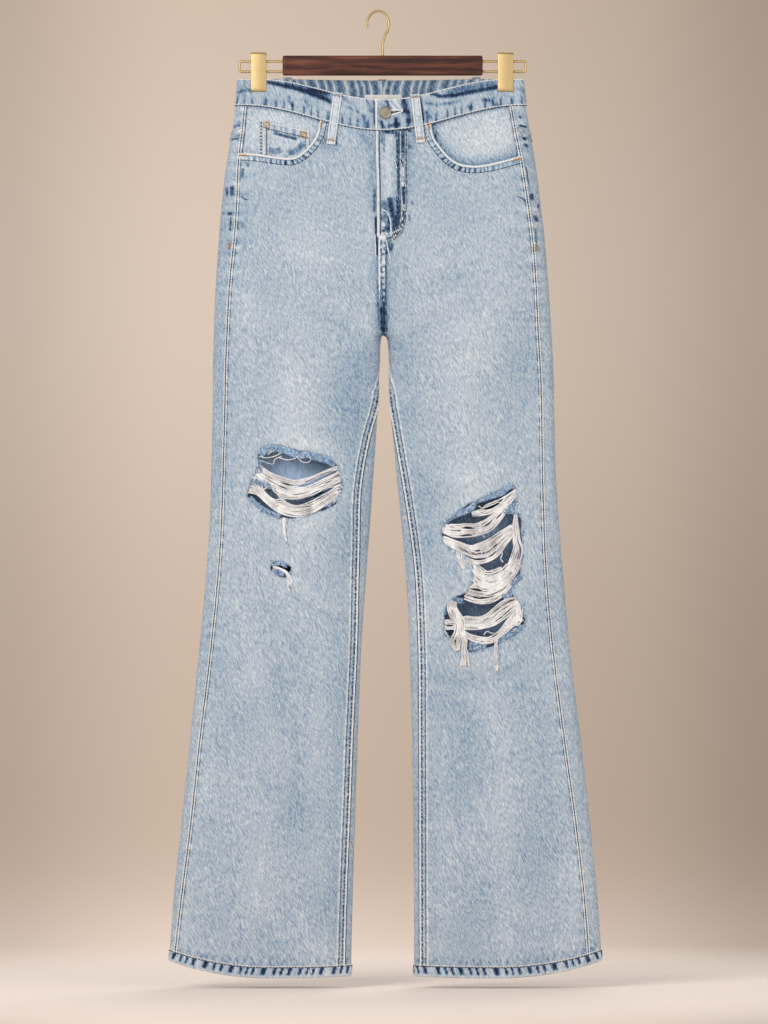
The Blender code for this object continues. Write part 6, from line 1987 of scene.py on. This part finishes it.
for side, sign in (("left", -1), ("right", 1)):
    u, v = np.meshgrid(np.linspace(-1, 1, 68), np.linspace(0, 1, 72))
    from_side = (1 - np.abs(u)) * half_foot
    from_top = v * side_depth
    from_foot = (1 - v) * side_depth
    edge = np.minimum(np.minimum(from_side, from_top), from_foot)
    hem_line = 0.3 * (1 - ease(from_top, 21, 22)) - 0.3 * np.exp(-((from_top - 22) ** 2) / 1.2)
    sewn = np.exp(-((edge - 2.6) ** 2) / 0.7) + np.exp(-((edge - 8.4) ** 2) / 0.7)
    worn = 0.9 * np.sin(u * 2.6 + 1) * np.sin(v * 3.1)
    worn = worn + 0.35 * ripple(from_top + 20 * u, 19, 2.0 + sign)
    height = POCKET_OFF + hem_line - 0.22 * sewn - 0.35 * np.exp(-(edge**2) / 0.6) + 0.3 * worn
    (points, normals), x, drop = on_pocket(sign, u, v, height)
    tone = washed(side, np.zeros(u.shape, bool), x, drop) + 0.05
    tone += 0.16 * np.exp(-((edge - 0.8) ** 2) / 1.2) + 0.06 * worn
    tone -= 0.22 * sewn * np.clip(ripple(from_top + 1.3 * from_side, 8, 2.2) + 0.4, 0, 1)
    tone -= 0.25 * np.exp(-((from_top - 22) ** 2) / 1.6)
    made = denim_layer("back_pocket_cloth_" + side, points, normals, tone)
    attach(made, "root")
    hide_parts("back_pocket_" + side)
    pockets[side] = made
    for inset in (2.6, 8.4):
        su, sv = 1 - inset / half_foot, 1 - inset / side_depth
        route = [(-su, 0.02), (-su, sv), (0, sv), (su, sv), (su, 0.02)]
        line = along([(a * 1000, b * 1000) for a, b in route], 14, smooth=False)
        tan_rows.append(pocket_row(sign, *line.T, 0.35))
    line = np.linspace(-0.96, 0.96, 60)
    tan_rows.append(pocket_row(sign, line, np.full(60, 20 / side_depth), 0.45))
    white_rows.append(pocket_row(sign, line, np.full(60, 1.6 / side_depth), 0.3))
    for end in (-1, 1):
        for shift in (0.0, 0.9, 1.8):
            u = np.full(6, end * (0.975 - shift / half_top))
            tack_rows.append(pocket_row(sign, u, np.linspace(0.01, 0.075, 6), 0.7))

# Bar tacks also hold the outseams below the pockets' ends
for side, places in (("left", ((-179.9, 194.5), (-180.4, 200.5))),
                     ("right", ((180.4, 197), (182, 203)))):
    for shift in (-0.9, 0, 0.9):
        shifted = [(x + shift, drop) for x, drop in places]
        tack_rows.append(row_at(shifted, 1.1, side=side, step=1.0))
orange_thread = sewing_thread("orange_tan_tack_thread", "#cba47c", "#a9744a")
sew("bar_tacks", tack_rows, orange_thread, 1.2, 1.7, 0.5)

# ---------------------------------------------------------------------------------------------
# Hanger: a turned-edge hardwood bar, stained walnut, holding a brass-plated wire hook and, at each
# end, a wire loop that carries a pressed brass clip. The clips' jaws bite the waistband.

HOOK_R, WIRE_R, HOOK_TURN = 15.9, 1.55, 35
STEM_OFFSET, NECK_DROP, NECK_BEND, STEM_IN_BAR = 6.8, 9, (4.6, 6.0), 12
BAR_SIZE, BAR_TOP = (236, 13, 23.5), -51.3
ROD_DROPS, ROD_IN_BAR, CORNER_R, LOOP_END = (58.0, 70.2), 14, 3, 168.8
CLIP_X, CLIP_WIDTH, CLIP_TOP, CLIP_HEIGHT = (-146.2, 145.0), 18.6, -47.4, 46.8
CLIP_PLATE, CLIP_INSIDE, CLIP_CORNER = 1.3, 3.5, 3.4

turns = np.radians(np.linspace(192, -38, 40))
line = [HOOK_R * np.array([math.cos(a), math.sin(a)]) for a in turns]
last = line[-1]
neck_foot = np.array([STEM_OFFSET, -HOOK_R - NECK_DROP])
for t in np.linspace(0, 1, 10)[1:]:
    line.append((1 - t) ** 2 * last + 2 * t * (1 - t) * (last - NECK_BEND) + t**2 * neck_foot)
line.append(np.array([STEM_OFFSET, BAR_TOP - STEM_IN_BAR + HOOK_R - WIRE_R]))
aside = np.array([math.cos(math.radians(HOOK_TURN)), -math.sin(math.radians(HOOK_TURN))])
hook = np.array([(*(far * aside), up + WIRE_R - HOOK_R) for far, up in line]) * MM - MID
wire = {"Sides": 20, "Yarn": satin_brass}
made = from_lines("wire_hook", [hook], yarn_tree, wire, [np.full(len(hook), WIRE_R * MM)])
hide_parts("hanger_hook")
for side, sign in (("left", -1), ("right", 1)):
    end = sign * (BAR_SIZE[0] / 2 - ROD_IN_BAR)
    loop = [(end, ROD_DROPS[0])]
    for middle, turns in ((ROD_DROPS[0] + CORNER_R, (90, 0)), (ROD_DROPS[1] - CORNER_R, (0, -90))):
        for a in np.radians(np.linspace(*turns, 9)):
            loop.append((sign * (LOOP_END - CORNER_R + CORNER_R * math.cos(a)),
                         middle - CORNER_R * math.sin(a)))
    loop.append((end, ROD_DROPS[1]))
    loop = np.array([(x, 0.0, -drop - MID[2] / MM) for x, drop in loop]) * MM
    made = from_lines("wire_loop_" + side, [loop], yarn_tree, wire,
                      [np.full(len(loop), WIRE_R * MM)])
    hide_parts("hanger_wire_" + side)


def stained_wood(name):
    """Close-grained hardwood, stained walnut and lacquered: reddish brown with fine darker lines
    along the bar, 1 to 2 mm apart, and a soft satin shine."""
    made, tree, shader, place = blank_finish(name)
    lengthways = add(tree, "Mapping", Vector=place,
                     Scale=(1 / (70 * MM), 1 / (6 * MM), 1 / (6 * MM)))
    grain = add(tree, "TexNoise", Vector=lengthways, Scale=1, Detail=5, Distortion=0.4)
    pores = add(tree, "Mapping", Vector=place,
                Scale=(1 / (7 * MM), 1 / (0.6 * MM), 1 / (0.6 * MM)))
    pore = add(tree, "TexNoise", Vector=pores, Scale=1, Detail=2)
    tint = add(tree, "ValToRGB", Fac=grain)
    stops(tint, [(0.34, "#260e08"), (0.5, "#452115"), (0.68, "#784230")])
    dark = add(tree, "MapRange", Value=pore, From_Min=0.56, From_Max=0.72, To_Min=0.0, To_Max=0.5)
    worn = add(tree, "Mix", data_type="RGBA", Factor_Float=dark, A_Color=tint, B_Color="#2b130e")
    bump = add(tree, "Bump", Height=grain, Strength=0.15, Distance=0.2 * MM)
    put(shader, Base_Color=worn.outputs[2], Normal=bump, Roughness=0.55, Specular_IOR_Level=0.3,
        Coat_Weight=0.05, Coat_Roughness=0.3)
    return made


BAR_ROUND = 2.2
BAR_STATIONS = (0.0, 0.5, 1.3, 2.4, 4.0, 20, 60, 110)  # mm in from the bar's ends
half_bar = BAR_SIZE[0] / 2
stations = [-half_bar + s for s in BAR_STATIONS] + [half_bar - s for s in BAR_STATIONS[::-1]]
section = []
for corner_y, corner_z, start in ((1, 1, 0), (-1, 1, 90), (-1, -1, 180), (1, -1, 270)):
    for a in np.radians(np.linspace(start, start + 90, 6)):
        section.append((corner_y * (BAR_SIZE[1] / 2 - BAR_ROUND) + BAR_ROUND * math.cos(a),
                        corner_z * (BAR_SIZE[2] / 2 - BAR_ROUND) + BAR_ROUND * math.sin(a)))
section = np.array(section)
loops = np.empty((len(stations), len(section), 3))
for k, station in enumerate(stations):
    inwards = half_bar - abs(station)
    shrink = BAR_ROUND - math.sqrt(max(BAR_ROUND**2 - max(BAR_ROUND - inwards, 0) ** 2, 0))
    shrunk = section - np.sign(section) * shrink
    loops[k, :, 0] = station
    loops[k, :, 1] = shrunk[:, 0]
    loops[k, :, 2] = shrunk[:, 1] + BAR_TOP - BAR_SIZE[2] / 2 - MID[2] / MM
walnut = stained_wood("walnut_stained_hardwood")
made = closed_piece("walnut_bar", loops * MM, [walnut], np.zeros(loops.shape[:2]))
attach(made, "root")
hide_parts("hanger_bar")

outside = CLIP_INSIDE + CLIP_PLATE
clip_foot = CLIP_TOP - CLIP_HEIGHT
inside_top = -(ROD_DROPS[0] - WIRE_R - 0.3)
for side, middle in (("left", CLIP_X[0]), ("right", CLIP_X[1])):
    shell = [(outside, clip_foot + 1.2), (outside + 0.35, clip_foot + 4), (outside, clip_foot + 9)]
    shell += [(outside, z) for z in np.linspace(clip_foot + 12, CLIP_TOP - 2 * CLIP_CORNER, 9)]
    for a in np.radians(np.linspace(0, 90, 7)):
        shell.append((outside - CLIP_CORNER + CLIP_CORNER * math.cos(a),
                      CLIP_TOP - CLIP_CORNER + CLIP_CORNER * math.sin(a)))
    shell += [(-y, z) for y, z in reversed(shell)]
    inner = [(-CLIP_INSIDE, clip_foot), (-CLIP_INSIDE, clip_foot + 9),
             (-CLIP_INSIDE, inside_top - 1.2),
             (-CLIP_INSIDE + 1.2, inside_top), (CLIP_INSIDE - 1.2, inside_top),
             (CLIP_INSIDE, inside_top - 1.2), (CLIP_INSIDE, clip_foot + 9),
             (CLIP_INSIDE, clip_foot)]
    section = np.array(shell + inner)
    ends = (0.0, 0.15, 0.5, 1.0)
    widths = [-CLIP_WIDTH / 2 + e for e in ends] + [CLIP_WIDTH / 2 - e for e in ends[::-1]]
    loops = np.empty((len(widths), len(section), 3))
    for k, wide in enumerate(widths):
        at_end = CLIP_WIDTH / 2 - abs(wide)
        thin = 0.45 * (1 - min(at_end, 0.8) / 0.8)
        outer = np.abs(section[:, 0]) > CLIP_INSIDE + 0.1
        loops[k, :, 0] = wide + middle
        loops[k, :, 1] = section[:, 0] - np.sign(section[:, 0]) * thin * outer
        loops[k, :, 2] = section[:, 1] - thin * (section[:, 1] > CLIP_TOP - 2) - MID[2] / MM
    made = closed_piece("brass_clip_" + side, loops * MM, [satin_brass], np.zeros(loops.shape[:2]))
    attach(made, "root")
    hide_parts("hanger_clip_" + side)
sew("seam_stitches_white", white_rows, white_thread)
sew("seam_stitches_tan", tan_rows, tan_thread, 3.6, 3.2, 0.55)
sew("seam_stitches_brown", brown_rows, brown_thread, 3.2, 2.9, 0.6)
sew("seam_stitches_dark", dark_rows, blue_thread, 4.2, 2.8, 0.75)

# ---------------------------------------------------------------------------------------------
# The cut of each sheet before it was sewn and hung: width, length and area, in metres.

CUTS = {"band": (0.40, 0.037, 0.0142), "front": (0.25, 1.015, 0.170), "back": (0.30, 1.0, 0.237),
        "yoke": (0.20, 0.075, 0.0115), "facing": (0.12, 0.09, 0.0093),
        "pocket": (0.136, 0.143, 0.0165),
        "coin": (0.055, 0.045, 0.0021), "loop": (0.0108, 0.060, 0.00064),
        "label": (0.044, 0.0155, 0.00067)}
cut_pieces = [("coin", coin_pocket, facings["left"], ()),
              ("label", label_piece, waistbands["left"], ())]
cut_pieces += [("loop", made, waistbands[side], ()) for _, _, side, made in loops_made]
for side in ("left", "right"):
    cut_pieces += [
        ("band", waistbands[side], "brass_clip_" + side, ()),
        ("front", fronts[side], waistbands[side], with_panel["front", side]),
        ("back", backs[side], yokes[side], with_panel["back", side]),
        ("yoke", yokes[side], waistbands[side], ()),
        ("facing", facings[side], waistbands[side], ()),
        ("pocket", pockets[side], backs[side], ()),
    ]
for kind, made, holder, extras in cut_pieces:
    wide, long, cut_area = CUTS[kind]
